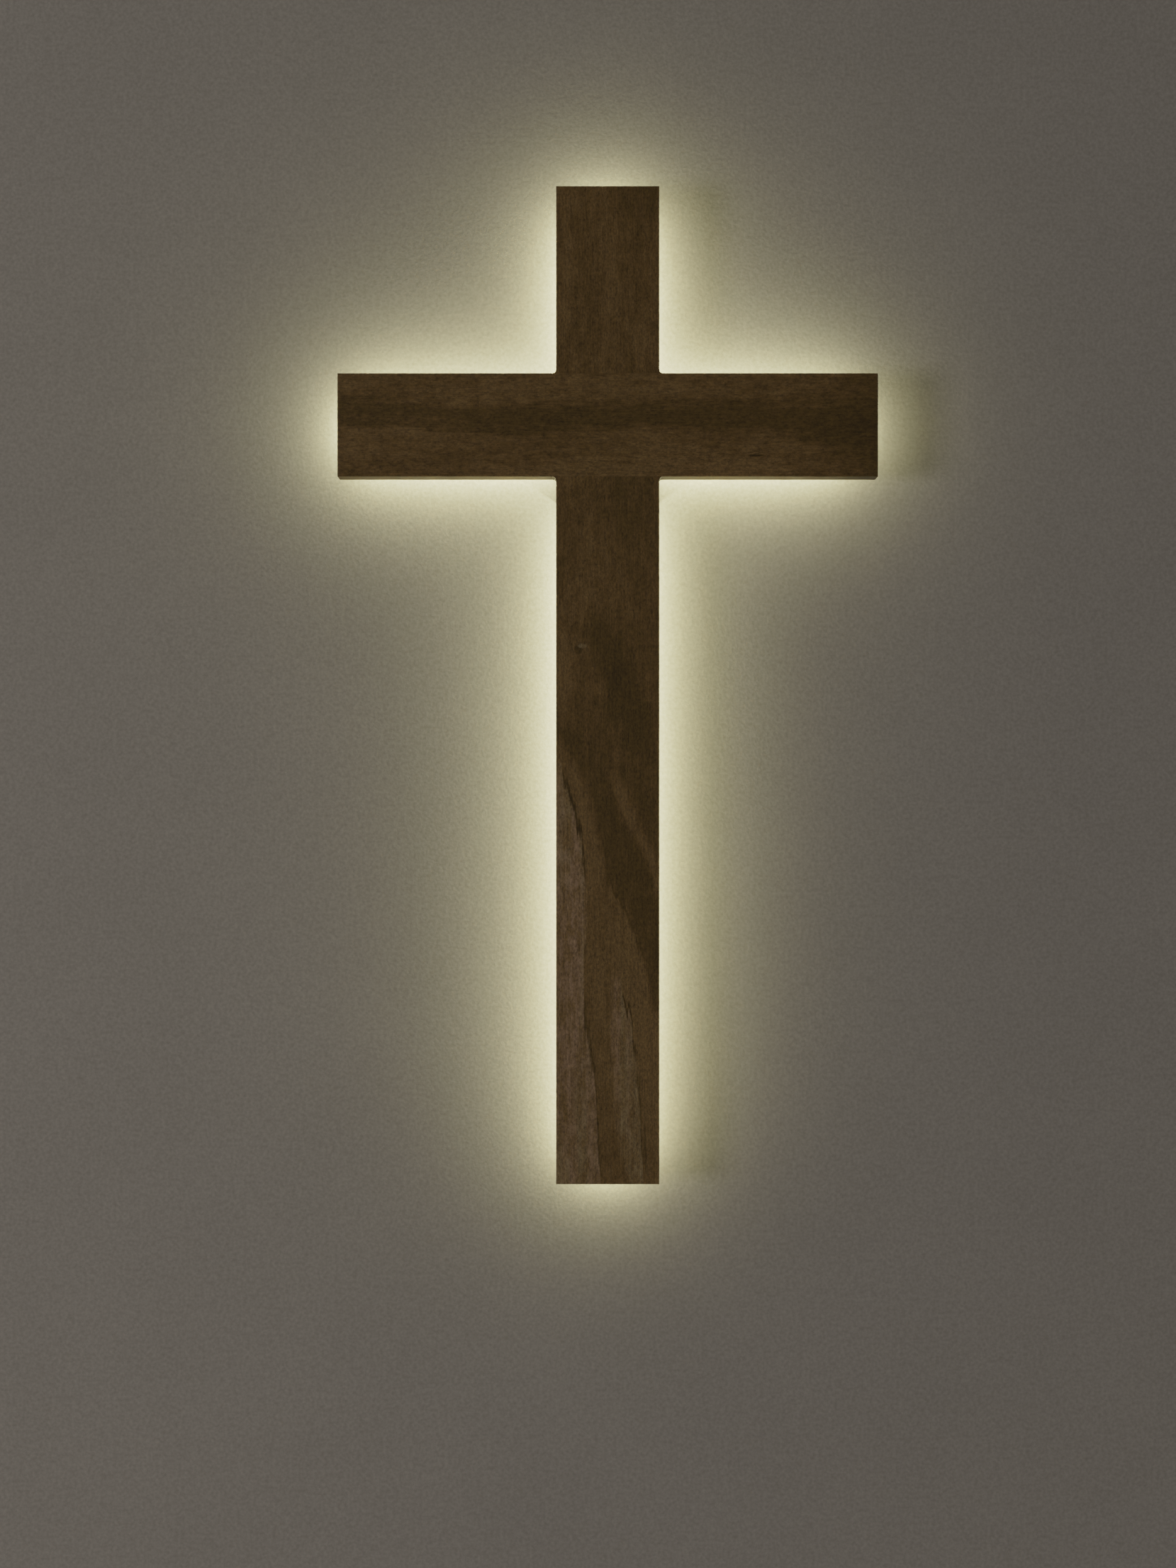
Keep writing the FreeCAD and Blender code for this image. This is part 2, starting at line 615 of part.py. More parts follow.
def switch_slider():
    """The knob stands at the upper end of its travel, where the lights are on."""
    made = body("switch_slider", 0, f"{SWITCH} + switch_travel / 2")
    start = f"{CASE_END_INSIDE} - slider_play - slider_base_height"
    base = sketch(made, "YZ_Plane", (0, 0, start))
    rectangle(base, "-switch_depth - slider_base_width / 2", "-switch_depth + slider_base_width / 2",
              "-slider_base / 2", "slider_base / 2")
    extrude(made, base, "slider_base_height")
    knob = sketch(made, "YZ_Plane", (0, 0, start))
    rectangle(knob, "-switch_depth - knob_width / 2", "-switch_depth + knob_width / 2",
              "-knob_length / 2", "knob_length / 2")
    extrude(made, knob, "slider_base_height + slider_play + case_wall + knob_reach")
    grip = sketch(made, "YZ_Plane", (0, 0, "case_length / 2 + knob_reach - knob_groove"))
    rectangle(grip, "-switch_depth - knob_width", "-switch_depth + knob_width",
              "-1 - knob_groove / 2", "-1 + knob_groove / 2")
    groove = extrude(made, grip, "knob_groove", cut=True)
    repeat(made, [groove], 1, 3, "Z_Axis")
    return made


def light_strip(arm, x, z, turn, count):
    """One cut length of light strip, laid along local +X from its first cut end: the printed tape, and on
    it the light packages, their windows and a resistor beside each."""
    parts = [body(f"{piece}_{arm}", x, z, turn) for piece in ("strip", "leds", "windows", "resistors")]
    tape, packages, windows, resistors = parts
    slab(tape, 0, f"led_pitch * {count}", "-strip_width / 2", "strip_width / 2", STRIP_FACE, BOARD_BACK)

    half, first = "led_side / 2", "led_pitch / 2"
    top = f"{STRIP_FACE} - led_height"
    right, left = f"{first} + {half}", f"{first} - {half}"
    package = layer(packages, lambda s: polygon(s, [
        (right, half), (f"{left} + led_notch", half), (left, f"{half} - led_notch"),
        (left, f"-{half}"), (right, f"-{half}")]), top, STRIP_FACE)
    mouth = turned(packages, window_outline(top, "window_mouth / 2", "0"), (first, 0, 0), cut=True)
    repeat(packages, [package, mouth], "led_pitch", count)

    dipped_radius = ("window_mouth / 2 - (window_mouth - window_floor) / 2"
                     " * window_dip / window_depth")
    window = turned(windows, window_outline(top, dipped_radius, "window_dip"), (first, 0, 0))
    repeat(windows, [window], "led_pitch", count)

    chip = slab(resistors, "resistor_place - led_side / 2", "resistor_place - led_side / 2 + resistor_width",
                "-resistor_length / 2", "resistor_length / 2", f"{STRIP_FACE} - resistor_height", STRIP_FACE)
    repeat(resistors, [chip], "led_pitch", count)
    return parts


def window_outline(top, mouth_radius, dip):
    """Half the section of the tapered window that is sunk in the face of a light package."""
    return [(0, f"-({top}) - ({dip})"), (mouth_radius, f"-({top}) - ({dip})"),
            ("window_floor / 2", f"-({top}) - window_depth"), (0, f"-({top}) - window_depth")]


def lead(label, points):
    """A length of insulated wire: straight runs joined by arcs that are as large as the runs allow."""
    corners = [FreeCAD.Vector(x, -depth, z) for x, depth, z in points]
    edges, at, tightest = [], corners[0], math.inf
    for before, corner, after in zip(corners, corners[1:], corners[2:]):
        run_in, run_out = (before - corner), (after - corner)
        shorter = min(run_in.Length, run_out.Length)
        back, on = run_in.normalize(), run_out.normalize()
        half_turn = (math.pi - back.getAngle(on)) / 2
        setback = 0.45 * shorter
        radius = setback / math.tan(half_turn)
        tightest = min(tightest, radius)
        start, end = corner + back * setback, corner + on * setback
        to_centre = (back + on).normalize()
        middle = corner + to_centre * (radius / math.cos(half_turn) - radius)
        edges += [Part.LineSegment(at, start).toShape(), Part.Arc(start, middle, end).toShape()]
        at = end
    edges.append(Part.LineSegment(at, corners[-1]).toShape())
    path = Part.Wire(edges)
    first = corners[1] - corners[0]
    section = Part.Wire([Part.Circle(corners[0], first, float(sheet.lead_diameter) / 2).toShape()])
    made = doc.addObject("Part::Feature", label)
    made.Label = label
    made.Shape = path.makePipeShell([section], True, False)
    expected = path.Length * math.pi * float(sheet.lead_diameter) ** 2 / 4
    print(f"{label}: {path.Length:.1f} mm long, tightest radius {tightest:.1f} mm, "
          f"volume {made.Shape.Volume / expected:.3f} of its section times its length")
    return made


def wiring():
    """The leads, which solder and the case hold at both ends. They start on a contact's tail or on a
    terminal of the switch, or on a strip, and end on the pads at a strip's cut line."""
    gap, radius = float(sheet.wall_gap), float(sheet.lead_diameter) / 2
    solder = float(sheet.solder_gap)
    on_strip = gap - float(sheet.strip_thickness) - radius - solder
    on_board = gap - radius
    in_case, switch_depth = gap - 1.7, float(sheet.switch_depth)
    pins = float(sheet.case_length) / 2 - float(sheet.case_wall) - float(sheet.switch_height) \
        - float(sheet.terminal_length) - solder
    case = -float(sheet.crossing_drop) - float(sheet.case_drop)
    switch = case - float(sheet.switch_drop)
    output = switch + float(sheet.terminal_pitch)
    crossing = -float(sheet.crossing_drop)
    foot_pad = crossing - float(sheet.lower_start) - 2.2
    upper_pad = crossing + float(sheet.upper_start) + 1.4
    pad_side = 3
    notch_x = -float(sheet.side_notch_place)
    channel = float(sheet.channel_side)
    tail_x = -float(sheet.case_length) / 2 + float(sheet.case_wall) + float(sheet.contact_thickness) + radius
    tail_z = case + float(sheet.cell_pitch) - float(sheet.contact_width) / 2
    return [
        lead("lead_battery_positive", [
            (-tail_x, tail_end_depth(), case - 15.6), (18.6, in_case, case - 16.4),
            (14.4, in_case, case - 14.4), (14.4, in_case, switch - 0.6), (pins, switch_depth, switch)]),
        lead("feed_across_red", [
            (pins, switch_depth, output), (13.6, in_case - 0.3, case - 5.4), (-12.6, in_case, case - 5.6),
            (notch_x + 1.6, in_case, case - 1), (notch_x + 1.2, on_board - 0.5, case + 17.5),
            (notch_x + 1, on_strip, crossing - 4), (notch_x + 1, on_strip, crossing + 3)]),
        lead("feed_across_black", [
            (tail_x, tail_end_depth(), tail_z + 2.2), (notch_x - 1.5, in_case, case + 13),
            (notch_x - 1.2, on_board - 0.5, case + 18.5), (notch_x - 1, on_strip, crossing - 3)]),
        lead("feed_lower_red", [
            (pins, switch_depth + 1.1, output - 0.9), (12, in_case + 0.6, case - 8.4),
            (4.6, in_case, case - 11.5), (2.3, on_board - 0.4, case - 17.5), (pad_side, on_strip, foot_pad)]),
        lead("feed_lower_black", [
            (tail_x, tail_end_depth(), tail_z + 0.8), (-22.2, in_case, case - 5), (-13, in_case, case - 12.5),
            (-4.2, in_case, case - 14), (-2.2, on_board - 0.4, case - 18), (-pad_side, on_strip, foot_pad)]),
        lead("jumper_upper_red", [
            (channel - 1, on_strip, crossing + 3), (channel - 0.7, on_strip, 9.5),
            (channel - 3, on_strip, upper_pad), (pad_side, on_strip, upper_pad)]),
        lead("jumper_upper_black", [
            (channel + 1, on_strip, crossing - 3), (channel + 1.2, on_strip, 11),
            (channel - 2.4, on_strip, upper_pad + 3.4), (2, on_strip, upper_pad + 3),
            (-pad_side, on_strip, upper_pad)]),
    ]


def tail_end_depth():
    """The depth at which a lead is soldered to a contact's tail."""
    return float(sheet.tail_end) - 0.8


boards = [upright(), crossbar()]
ease_ends(boards[0], "z")
ease_ends(boards[1], "x")

parts = boards + [
    hanging_block(),
    screws("hanging_block_screws", BLOCK_SCREW, 2, "block_screw_spacing", LAP, 0, "block_rise", far_sign=-1),
    keyhole_plate(),
    screws("keyhole_plate_screws", PLATE_SCREW, 3, "plate_screw_spacing", 0, 0, "block_rise"),
    battery_case(),
    screws("battery_case_screws", CASE_SCREW, 2, "case_screw_spacing", BAY_FLOOR, 0, CASE),
    battery_cover(),
    cell("battery_cell_upper", 1, 0),
    cell("battery_cell_middle", 0, 180),
    cell("battery_cell_lower", -1, 0),
    contact_plates(),
    contact_springs(),
    switch_body(),
    switch_terminals(),
    switch_slider(),
]
parts += light_strip("across", "across_margin - crossbar_length / 2", CROSSING, 0, "across_count")
parts += light_strip("upper", 0, f"{CROSSING} + upper_start", -90, "upper_count")
parts += light_strip("lower", 0, f"{CROSSING} - lower_start", 90, "lower_count")
parts += wiring()

doc.recompute()
for item in doc.Objects:
    if "Invalid" in item.State or "Error" in item.State:
        raise RuntimeError(f"{item.Label} is {item.State}")
for part in parts:
    if part.Shape.isNull() or not part.Shape.isValid():
        raise RuntimeError(f"{part.Label} has no valid shape")
os.makedirs("parts", exist_ok=True)
for part in parts:
    part.Shape.exportStep(f"parts/{part.Label}.step")
    print(f"{part.Label}: {len(part.Shape.Solids)} solids, {part.Shape.Volume:.1f} mm3")
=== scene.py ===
"""A backlit wooden wall cross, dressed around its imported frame, and lit by its own light strips."""

import math

import bpy
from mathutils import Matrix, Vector


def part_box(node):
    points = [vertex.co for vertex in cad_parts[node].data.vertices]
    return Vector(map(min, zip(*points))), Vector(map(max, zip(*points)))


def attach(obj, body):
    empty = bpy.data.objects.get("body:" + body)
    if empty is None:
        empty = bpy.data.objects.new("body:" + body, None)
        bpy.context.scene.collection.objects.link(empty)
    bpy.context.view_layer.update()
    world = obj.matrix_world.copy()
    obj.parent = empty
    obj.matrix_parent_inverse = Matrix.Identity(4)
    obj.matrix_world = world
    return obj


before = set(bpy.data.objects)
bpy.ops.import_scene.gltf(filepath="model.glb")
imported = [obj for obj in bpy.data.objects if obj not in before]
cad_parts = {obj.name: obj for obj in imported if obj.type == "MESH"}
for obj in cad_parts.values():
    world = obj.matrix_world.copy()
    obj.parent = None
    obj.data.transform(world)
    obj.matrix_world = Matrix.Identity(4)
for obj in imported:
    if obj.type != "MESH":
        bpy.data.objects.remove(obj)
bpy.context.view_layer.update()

MM = 0.001
RIGHT, BACKWARD, UP = Vector((1, 0, 0)), Vector((0, 1, 0)), Vector((0, 0, 1))


# ---------------------------------------------------------------- places

def middle(node):
    """The middle of a node's box."""
    low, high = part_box(node)
    return (low + high) / 2


UPRIGHT_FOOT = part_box("upright")[0].z
CROSSING = middle("crossbar")
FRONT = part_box("crossbar")[0].y

# Which way each light strip runs from its first cut end, and which way its width lies.
ARMS = {"across": (RIGHT, UP), "upper": (UP, RIGHT), "lower": (-UP, RIGHT)}
LED_PITCH = 1 / 30
TAPE_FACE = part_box("strip_upper")[1].y
LED_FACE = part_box("leds_upper")[1].y
LED_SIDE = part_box("leds_upper")[1].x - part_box("leds_upper")[0].x
WINDOW_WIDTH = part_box("windows_upper")[1].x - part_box("windows_upper")[0].x


def strip_place(arm, along, across=0.0, height=0.0):
    """A spot on an arm's strip: how far along it from its first cut end, how far across it from its
    middle, and how high over the face of its tape."""
    low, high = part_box("strip_" + arm)
    run, side = ARMS[arm]
    length = abs((high - low).dot(run))
    spot = (low + high) / 2 + run * (along - length / 2) + side * across
    spot.y = TAPE_FACE + height
    return spot


def segment_count(arm):
    """How many segments, of one light each, an arm's strip has."""
    low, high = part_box("strip_" + arm)
    return round(abs((high - low).dot(ARMS[arm][0])) / LED_PITCH)


# ---------------------------------------------------------------- nodes

class Shader:
    """A material whose nodes are added one at a time. A socket given as an input is linked, and anything
    else is set as its value."""

    def __init__(self, name):
        self.material = bpy.data.materials.new(name)
        self.material.use_nodes = True
        self.tree = self.material.node_tree
        self.tree.nodes.clear()
        self.output = self.tree.nodes.new("ShaderNodeOutputMaterial")

    def add(self, kind, inputs=None, **settings):
        made = self.tree.nodes.new("ShaderNode" + kind)
        for key, value in settings.items():
            setattr(made, key, value)
        for key, value in (inputs or {}).items():
            self.feed(made.inputs[key], value)
        return made

    def feed(self, socket, value):
        if isinstance(value, bpy.types.NodeSocket):
            self.tree.links.new(value, socket)
        elif hasattr(socket.default_value, "__len__") and len(socket.default_value) == 4:
            socket.default_value = (*value, 1.0) if len(value) == 3 else value
        else:
            socket.default_value = value

    def math(self, operation, *values):
        made = self.add("Math", operation=operation)
        for socket, value in zip(made.inputs, values):
            self.feed(socket, value)
        return made.outputs[0]

    def plus(self, first, second):
        return self.math("ADD", first, second)

    def minus(self, first, second):
        return self.math("SUBTRACT", first, second)

    def times(self, first, second):
        return self.math("MULTIPLY", first, second)

    def over(self, first, second):
        return self.math("DIVIDE", first, second)

    def larger(self, first, second):
        return self.math("MAXIMUM", first, second)

    def absolute(self, value):
        return self.math("ABSOLUTE", value)

    def gap(self, first, second):
        """How far apart two numbers are."""
        return self.absolute(self.minus(first, second))

    def place(self):
        """The place on the piece, in millimetres of the row's frame, as x, y and z."""
        spot = self.stretched(self.add("TexCoord").outputs["Object"], [1 / MM] * 3)
        parts = self.add("SeparateXYZ", {0: spot})
        return spot, [parts.outputs[i] for i in range(3)]

    def stretched(self, spot, scale):
        return self.add("VectorMath", {0: spot, 1: scale}, operation="MULTIPLY").outputs[0]

    def moved(self, spot, by):
        return self.add("VectorMath", {0: spot, 1: by}, operation="ADD").outputs[0]

    def noise(self, spot, scale, detail, roughness=0.5):
        made = self.add("TexNoise", {"Vector": spot, "Scale": scale, "Detail": detail,
                                     "Roughness": roughness})
        return made.outputs["Fac"]

    def remap(self, value, low, high, to_low=0.0, to_high=1.0, kind="SMOOTHSTEP"):
        made = self.add("MapRange", {"Value": value, "From Min": low, "From Max": high,
                                     "To Min": to_low, "To Max": to_high}, interpolation_type=kind)
        return made.outputs[0]

    def blend(self, share, first, second, kind="MIX"):
        made = self.add("Mix", data_type="RGBA", blend_type=kind)
        self.feed(made.inputs[0], share)
        self.feed(made.inputs[6], first)
        self.feed(made.inputs[7], second)
        return made.outputs[2]

    def shaded(self, colour, share):
        """The colour, with each of its three parts multiplied by share."""
        grey = self.add("CombineXYZ", {0: share, 1: share, 2: share}).outputs[0]
        return self.blend(1.0, colour, grey, "MULTIPLY")

    def centred(self, noise, size):
        """The noise, as a number about zero that runs about half of size each way."""
        return self.times(self.minus(noise, 0.5), size)

    def mix(self, share, first, second):
        made = self.add("Mix", data_type="FLOAT")
        for index, value in ((0, share), (2, first), (3, second)):
            self.feed(made.inputs[index], value)
        return made.outputs[0]

    def curve(self, value, points):
        """A smooth line through a few points, read at the value."""
        made = self.add("FloatCurve", {"Value": value})
        made.mapping.use_clip = False
        line = made.mapping.curves[0]
        line.points[0].location, line.points[1].location = points[0], points[-1]
        for point in points[1:-1]:
            line.points.new(*point)
        made.mapping.update()
        return made.outputs[0]

    def spot_at(self, along, across, centre_along, centre_across, half_long, half_wide):
        """1 in the middle of a soft oval on the board, and 0 outside it."""
        first = self.over(self.minus(along, centre_along), half_long)
        second = self.over(self.minus(across, centre_across), half_wide)
        reach = self.plus(self.times(first, first), self.times(second, second))
        return self.remap(reach, 1.0, 0.1)

    def bump(self, height, strength, distance):
        return self.add("Bump", {"Height": height, "Strength": strength,
                                 "Distance": distance}).outputs["Normal"]

    def finish(self, **inputs):
        shader = self.add("BsdfPrincipled")
        for key, value in inputs.items():
            self.feed(shader.inputs[key.replace("_", " ")], value)
        self.tree.links.new(shader.outputs[0], self.output.inputs["Surface"])
        return self.material


def srgb(red, green, blue):
    """A colour given as it looks on a screen, 0 to 255, as linear numbers."""
    def linear(c):
        c /= 255
        return c / 12.92 if c <= 0.04045 else ((c + 0.055) / 1.055) ** 2.4
    return (linear(red), linear(green), linear(blue))


# ---------------------------------------------------------------- wood

WOOD_DARK = srgb(80, 61, 25)
WOOD_MID = srgb(95, 72, 36)
WOOD_LIGHT = srgb(109, 85, 49)
WOOD_CREAM = srgb(134, 117, 86)
WOOD_PINK = srgb(147, 119, 94)
BARE_WOOD = (srgb(112, 84, 50), srgb(150, 118, 76), srgb(188, 156, 110), srgb(205, 178, 136),
             srgb(198, 164, 128))
STAINED_WOOD = (WOOD_DARK, WOOD_MID, WOOD_LIGHT, WOOD_CREAM, WOOD_PINK)


def wood(name, along, node, figure, tones, seed):
    """Stained wood with its grain along one axis (0 for X, 2 for Z). figure is a function that, given the
    shader and how far along and across the board each spot is, as shares of its size, returns how light
    the spot is, how pale it is and how pink its pale parts are, as shares that may run past 0 and 1."""
    s = Shader(name)
    spot, xyz = s.place()
    offset = s.moved(spot, (seed, seed * 0.7, seed * 1.3))

    def grained(squeeze, across=1.0):
        """The place on the board, squeezed along the grain so that noise read there runs with it."""
        return s.stretched(offset, [squeeze if i == along else across for i in range(3)])

    low, high = (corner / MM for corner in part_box(node))
    from_left = s.remap(xyz[0], low.x, high.x, kind="LINEAR")
    from_top = s.remap(xyz[2], high.z, low.z, kind="LINEAR")
    shares = (from_left, from_top) if along == 0 else (from_top, from_left)
    fibres = grained(0.06)
    lightness, paleness, pinkness = figure(s, *shares, fibres)

    streaks = s.noise(fibres, scale=0.45, detail=4, roughness=0.6)
    mottle = s.noise(grained(0.5), scale=0.22, detail=4, roughness=0.65)
    clouds = s.noise(grained(0.3), scale=0.04, detail=2)
    flecks = s.noise(grained(0.55), scale=0.85, detail=4, roughness=0.75)
    lines = s.noise(grained(0.04), scale=1.8, detail=3, roughness=0.6)
    pores = s.remap(s.noise(grained(0.5, across=1.4), scale=0.8, detail=2), 0.67, 0.73)

    tone = lightness
    for noise, size in ((streaks, 0.8), (mottle, 1.8), (clouds, 1.5)):
        tone = s.plus(tone, s.centred(noise, size))
    dark, mid, light, cream, pink = tones
    deep = [c * 0.45 for c in dark]
    pore_colour = [c * 0.6 for c in dark]
    colour = s.blend(s.remap(tone, -1.4, -0.2, kind="LINEAR"), deep, dark)
    colour = s.blend(s.remap(tone, 0.0, 0.5, kind="LINEAR"), colour, mid)
    colour = s.blend(s.remap(tone, 0.5, 1.0, kind="LINEAR"), colour, light)

    pink_share = s.plus(s.centred(s.noise(fibres, scale=0.14, detail=2), 4.0), pinkness)
    pale = s.blend(s.remap(pink_share, 0.0, 1.0), cream, pink)
    wear = s.plus(s.centred(mottle, 2.0), s.centred(streaks, 1.2))
    pale = s.blend(s.remap(wear, 0.5, -0.5), pale, light)
    colour = s.blend(paleness, colour, pale)
    colour = s.blend(s.times(pores, 0.55), colour, pore_colour)
    grit = s.plus(s.remap(flecks, 0.28, 0.72, 0.40, 1.53, kind="LINEAR"), s.centred(lines, 0.9))
    colour = end_grain(s, spot, along, s.shaded(colour, grit), dark)

    height = s.plus(s.times(lines, 0.8), s.times(flecks, 0.4))
    height = s.minus(height, s.times(pores, 0.5))
    gloss = s.remap(flecks, 0.3, 0.7, 0.50, 0.62, kind="LINEAR")
    return s.finish(Base_Color=colour, Roughness=gloss, Normal=s.bump(height, 0.4, 0.00025),
                    Specular_IOR_Level=0.25)


# The growth rings: how far the middle of the tree lies from the frame's origin, and how far apart they are,
# in millimetres.
TREE_OFFSET = (11.0, 95.0, -31.0)
RING_PITCH = 2.3


def end_grain(s, spot, along, colour, dark):
    """The colour, darkened with arcs of growth rings on the faces that the grain runs out of."""
    normal = s.add("SeparateXYZ", {0: s.add("NewGeometry").outputs["Normal"]}).outputs[along]
    facing = s.remap(s.absolute(normal), 0.75, 0.95)
    flat = s.stretched(s.moved(spot, TREE_OFFSET), [0.0 if i == along else 1.0 for i in range(3)])
    reach = s.add("VectorMath", {0: flat}, operation="LENGTH").outputs["Value"]
    wavy = s.plus(reach, s.times(s.noise(spot, scale=0.12, detail=2), 3.0))
    rings = s.remap(s.math("FRACT", s.over(wavy, RING_PITCH)), 0.3, 0.95)
    ringed = s.blend(s.plus(s.times(rings, 0.45), 0.25), colour, dark)
    return s.blend(facing, colour, ringed)


# The crossbar's dark heart and its thin streak: how far down the bar's width each runs, and how far the
# heart spreads to either side, by how far along the bar.
HEART = ((0, 0.36), (0.3, 0.42), (0.5, 0.42), (0.8, 0.41), (1, 0.62))
HEART_WIDTH = ((0, 0.15), (0.5, 0.13), (0.8, 0.17), (1, 0.36))
THIN_STREAK = ((0, 0.48), (0.2, 0.53), (0.45, 0.60), (1, 0.66))


def crossbar_figure(s, along, across, fibres):
    """A darker heart runs the bar's length above its middle, with a thin streak under it. The right end
    is darker, and a small knot lies low in the right arm, in a lighter patch."""
    bent = s.plus(across, s.centred(s.noise(fibres, scale=0.35, detail=4, roughness=0.65), 0.32))
    from_heart = s.over(s.gap(bent, s.curve(along, HEART)), s.curve(along, HEART_WIDTH))
    from_streak = s.gap(bent, s.curve(along, THIN_STREAK))
    streak = s.times(s.remap(from_streak, 0.03, 0.0), s.remap(along, 0.55, 0.2, 0.0, 0.35))
    patch = s.spot_at(along, bent, 0.769, 0.70, 0.03, 0.09)
    knot = s.spot_at(along, bent, 0.773, 0.785, 0.018, 0.022)

    lightness = s.minus(0.70, s.times(s.remap(from_heart, 1.45, 0.25), 0.66))
    lightness = s.minus(lightness, streak)
    lightness = s.minus(lightness, s.remap(along, 0.80, 1.0, 0.0, 0.45))
    lightness = s.plus(lightness, s.times(patch, 0.35))
    lightness = s.minus(lightness, s.times(knot, 1.9))
    return lightness, 0.0, 0.0


# Where the lines of the upright's figure run: how far across the board each is, by how far down it.
WEDGE_EDGE = ((0, -0.5), (0.55, -0.12), (0.577, 0.06), (0.608, 0.157), (0.667, 0.275), (0.695, 0.297),
              (0.808, 0.284), (0.863, 0.344), (0.92, 0.41), (1, 0.445))
SWEEP_EDGE = ((0, -0.5), (0.52, -0.12), (0.56, 0.09), (0.605, 0.28), (0.658, 0.415), (0.693, 0.498),
              (0.73, 0.666), (0.78, 0.833), (0.833, 0.90), (1, 0.96))
STREAK = ((0, 0.2), (0.55, 0.43), (0.592, 0.566), (0.617, 0.648), (0.643, 0.754), (0.683, 0.918), (1, 1.9))
LOBE_LEFT = ((0, 0.62), (0.76, 0.57), (0.79, 0.533), (0.858, 0.525), (0.9, 0.554), (0.95, 0.595), (1, 0.70))
LOBE_RIGHT = ((0, 0.58), (0.76, 0.58), (0.8, 0.603), (0.82, 0.672), (0.863, 0.743), (0.935, 0.803),
              (1, 0.833))

# The stretches of those lines that are drawn dark: the line, where each starts and stops, how dark it is.
DRAWN_LINES = ((WEDGE_EDGE, 0.58, 0.70, 1.0), (WEDGE_EDGE, 0.80, 1.0, 0.7), (SWEEP_EDGE, 0.685, 0.79, 0.5),
               (LOBE_RIGHT, 0.795, 0.88, 1.0), (LOBE_RIGHT, 0.88, 1.0, 0.6), (LOBE_LEFT, 0.85, 0.89, 0.5))
LINE_FADE = 0.02

# How pink the pale parts are, by how far down the upright they lie.
PINKNESS = ((0, 0), (0.60, 0.0), (0.70, 0.55), (0.78, 0.95), (0.86, 0.75), (0.93, 0.45), (1, 0.3))


def upright_figure(s, along, across, fibres):
    """Plain above, but for a shadow below its middle and a chipped pit. In the lower half the figure sweeps
    from the left edge to the right: a pale wedge, a lighter band, a dark sweep with a light streak in it,
    and a pale lobe in the foot."""
    bent = s.plus(across, s.centred(s.noise(fibres, scale=0.4, detail=4, roughness=0.65), 0.16))
    off = {line: s.minus(bent, s.curve(along, line))
           for line in (WEDGE_EDGE, SWEEP_EDGE, STREAK, LOBE_LEFT, LOBE_RIGHT)}

    lightness = s.remap(across, 0.05, 0.9, 0.63, 0.38)
    tilted = s.minus(bent, s.times(s.minus(along, 0.465), 3.0))
    # The first two spots are the painted shadow below the middle. The thin third one is painted shade in
    # the hollow of the chipped pit, beside the pale bare wood of the chip.
    for dark_spot, depth in ((s.spot_at(along, tilted, 0.465, 0.50, 0.055, 0.20), 0.55),
                             (s.spot_at(along, tilted, 0.525, 0.52, 0.06, 0.24), 0.4),
                             (s.spot_at(along, across, 0.464, 0.235, 0.006, 0.045), 1.4)):
        lightness = s.minus(lightness, s.times(dark_spot, depth))
    chip = s.spot_at(along, across, 0.4605, 0.27, 0.003, 0.05)

    from_start = s.minus(along, s.plus(0.475, s.times(across, 0.16)))
    swept = s.times(s.remap(off[SWEEP_EDGE], -0.03, 0.10), s.remap(from_start, 0.0, 0.08))
    right_of_streak = s.times(s.remap(off[STREAK], 0.03, 0.1), s.remap(along, 0.56, 0.62))
    in_streak = s.times(s.remap(s.absolute(off[STREAK]), 0.10, 0.01), s.remap(along, 0.575, 0.615))
    left_of_sweep = s.times(s.remap(off[SWEEP_EDGE], 0.03, -0.05), s.remap(along, 0.55, 0.60))
    left_of_lobe = s.times(s.remap(off[LOBE_LEFT], 0.02, -0.03), s.remap(along, 0.76, 0.83))
    right_of_lobe = s.times(s.remap(off[LOBE_RIGHT], -0.01, 0.02), s.remap(along, 0.79, 0.86))
    for share, shade in ((swept, -0.08), (right_of_streak, 0.15), (in_streak, 0.88),
                         (left_of_sweep, 0.92), (left_of_lobe, 0.62), (right_of_lobe, 0.95)):
        lightness = s.mix(share, lightness, shade)

    wedge = s.times(s.remap(off[WEDGE_EDGE], 0.01, -0.02), s.remap(along, 0.56, 0.60))
    wedge = s.times(wedge, s.remap(along, 0.72, 1.0, 0.95, 0.66))
    lobe = s.times(s.remap(off[LOBE_LEFT], -0.03, 0.05), s.remap(off[LOBE_RIGHT], 0.02, -0.02))
    lobe = s.times(lobe, s.remap(along, 0.77, 0.81, 0.0, 0.62))
    paleness = s.larger(s.larger(wedge, lobe), s.times(chip, 0.7))

    for line, start, stop, depth in DRAWN_LINES:
        within = s.times(s.remap(along, start, start + LINE_FADE), s.remap(along, stop, stop - LINE_FADE))
        drawn = s.times(s.times(s.remap(s.absolute(off[line]), 0.022, 0.004), within), depth)
        paleness = s.mix(drawn, paleness, 0.0)
        lightness = s.mix(drawn, lightness, -0.8)
    return lightness, paleness, s.curve(along, PINKNESS)


def block_figure(s, along, across, fibres):
    """Plain, with soft bands."""
    return s.remap(s.noise(fibres, scale=0.2, detail=3), 0.3, 0.7, 0.3, 0.8), 0.1, 0.5


# ---------------------------------------------------------------- other materials

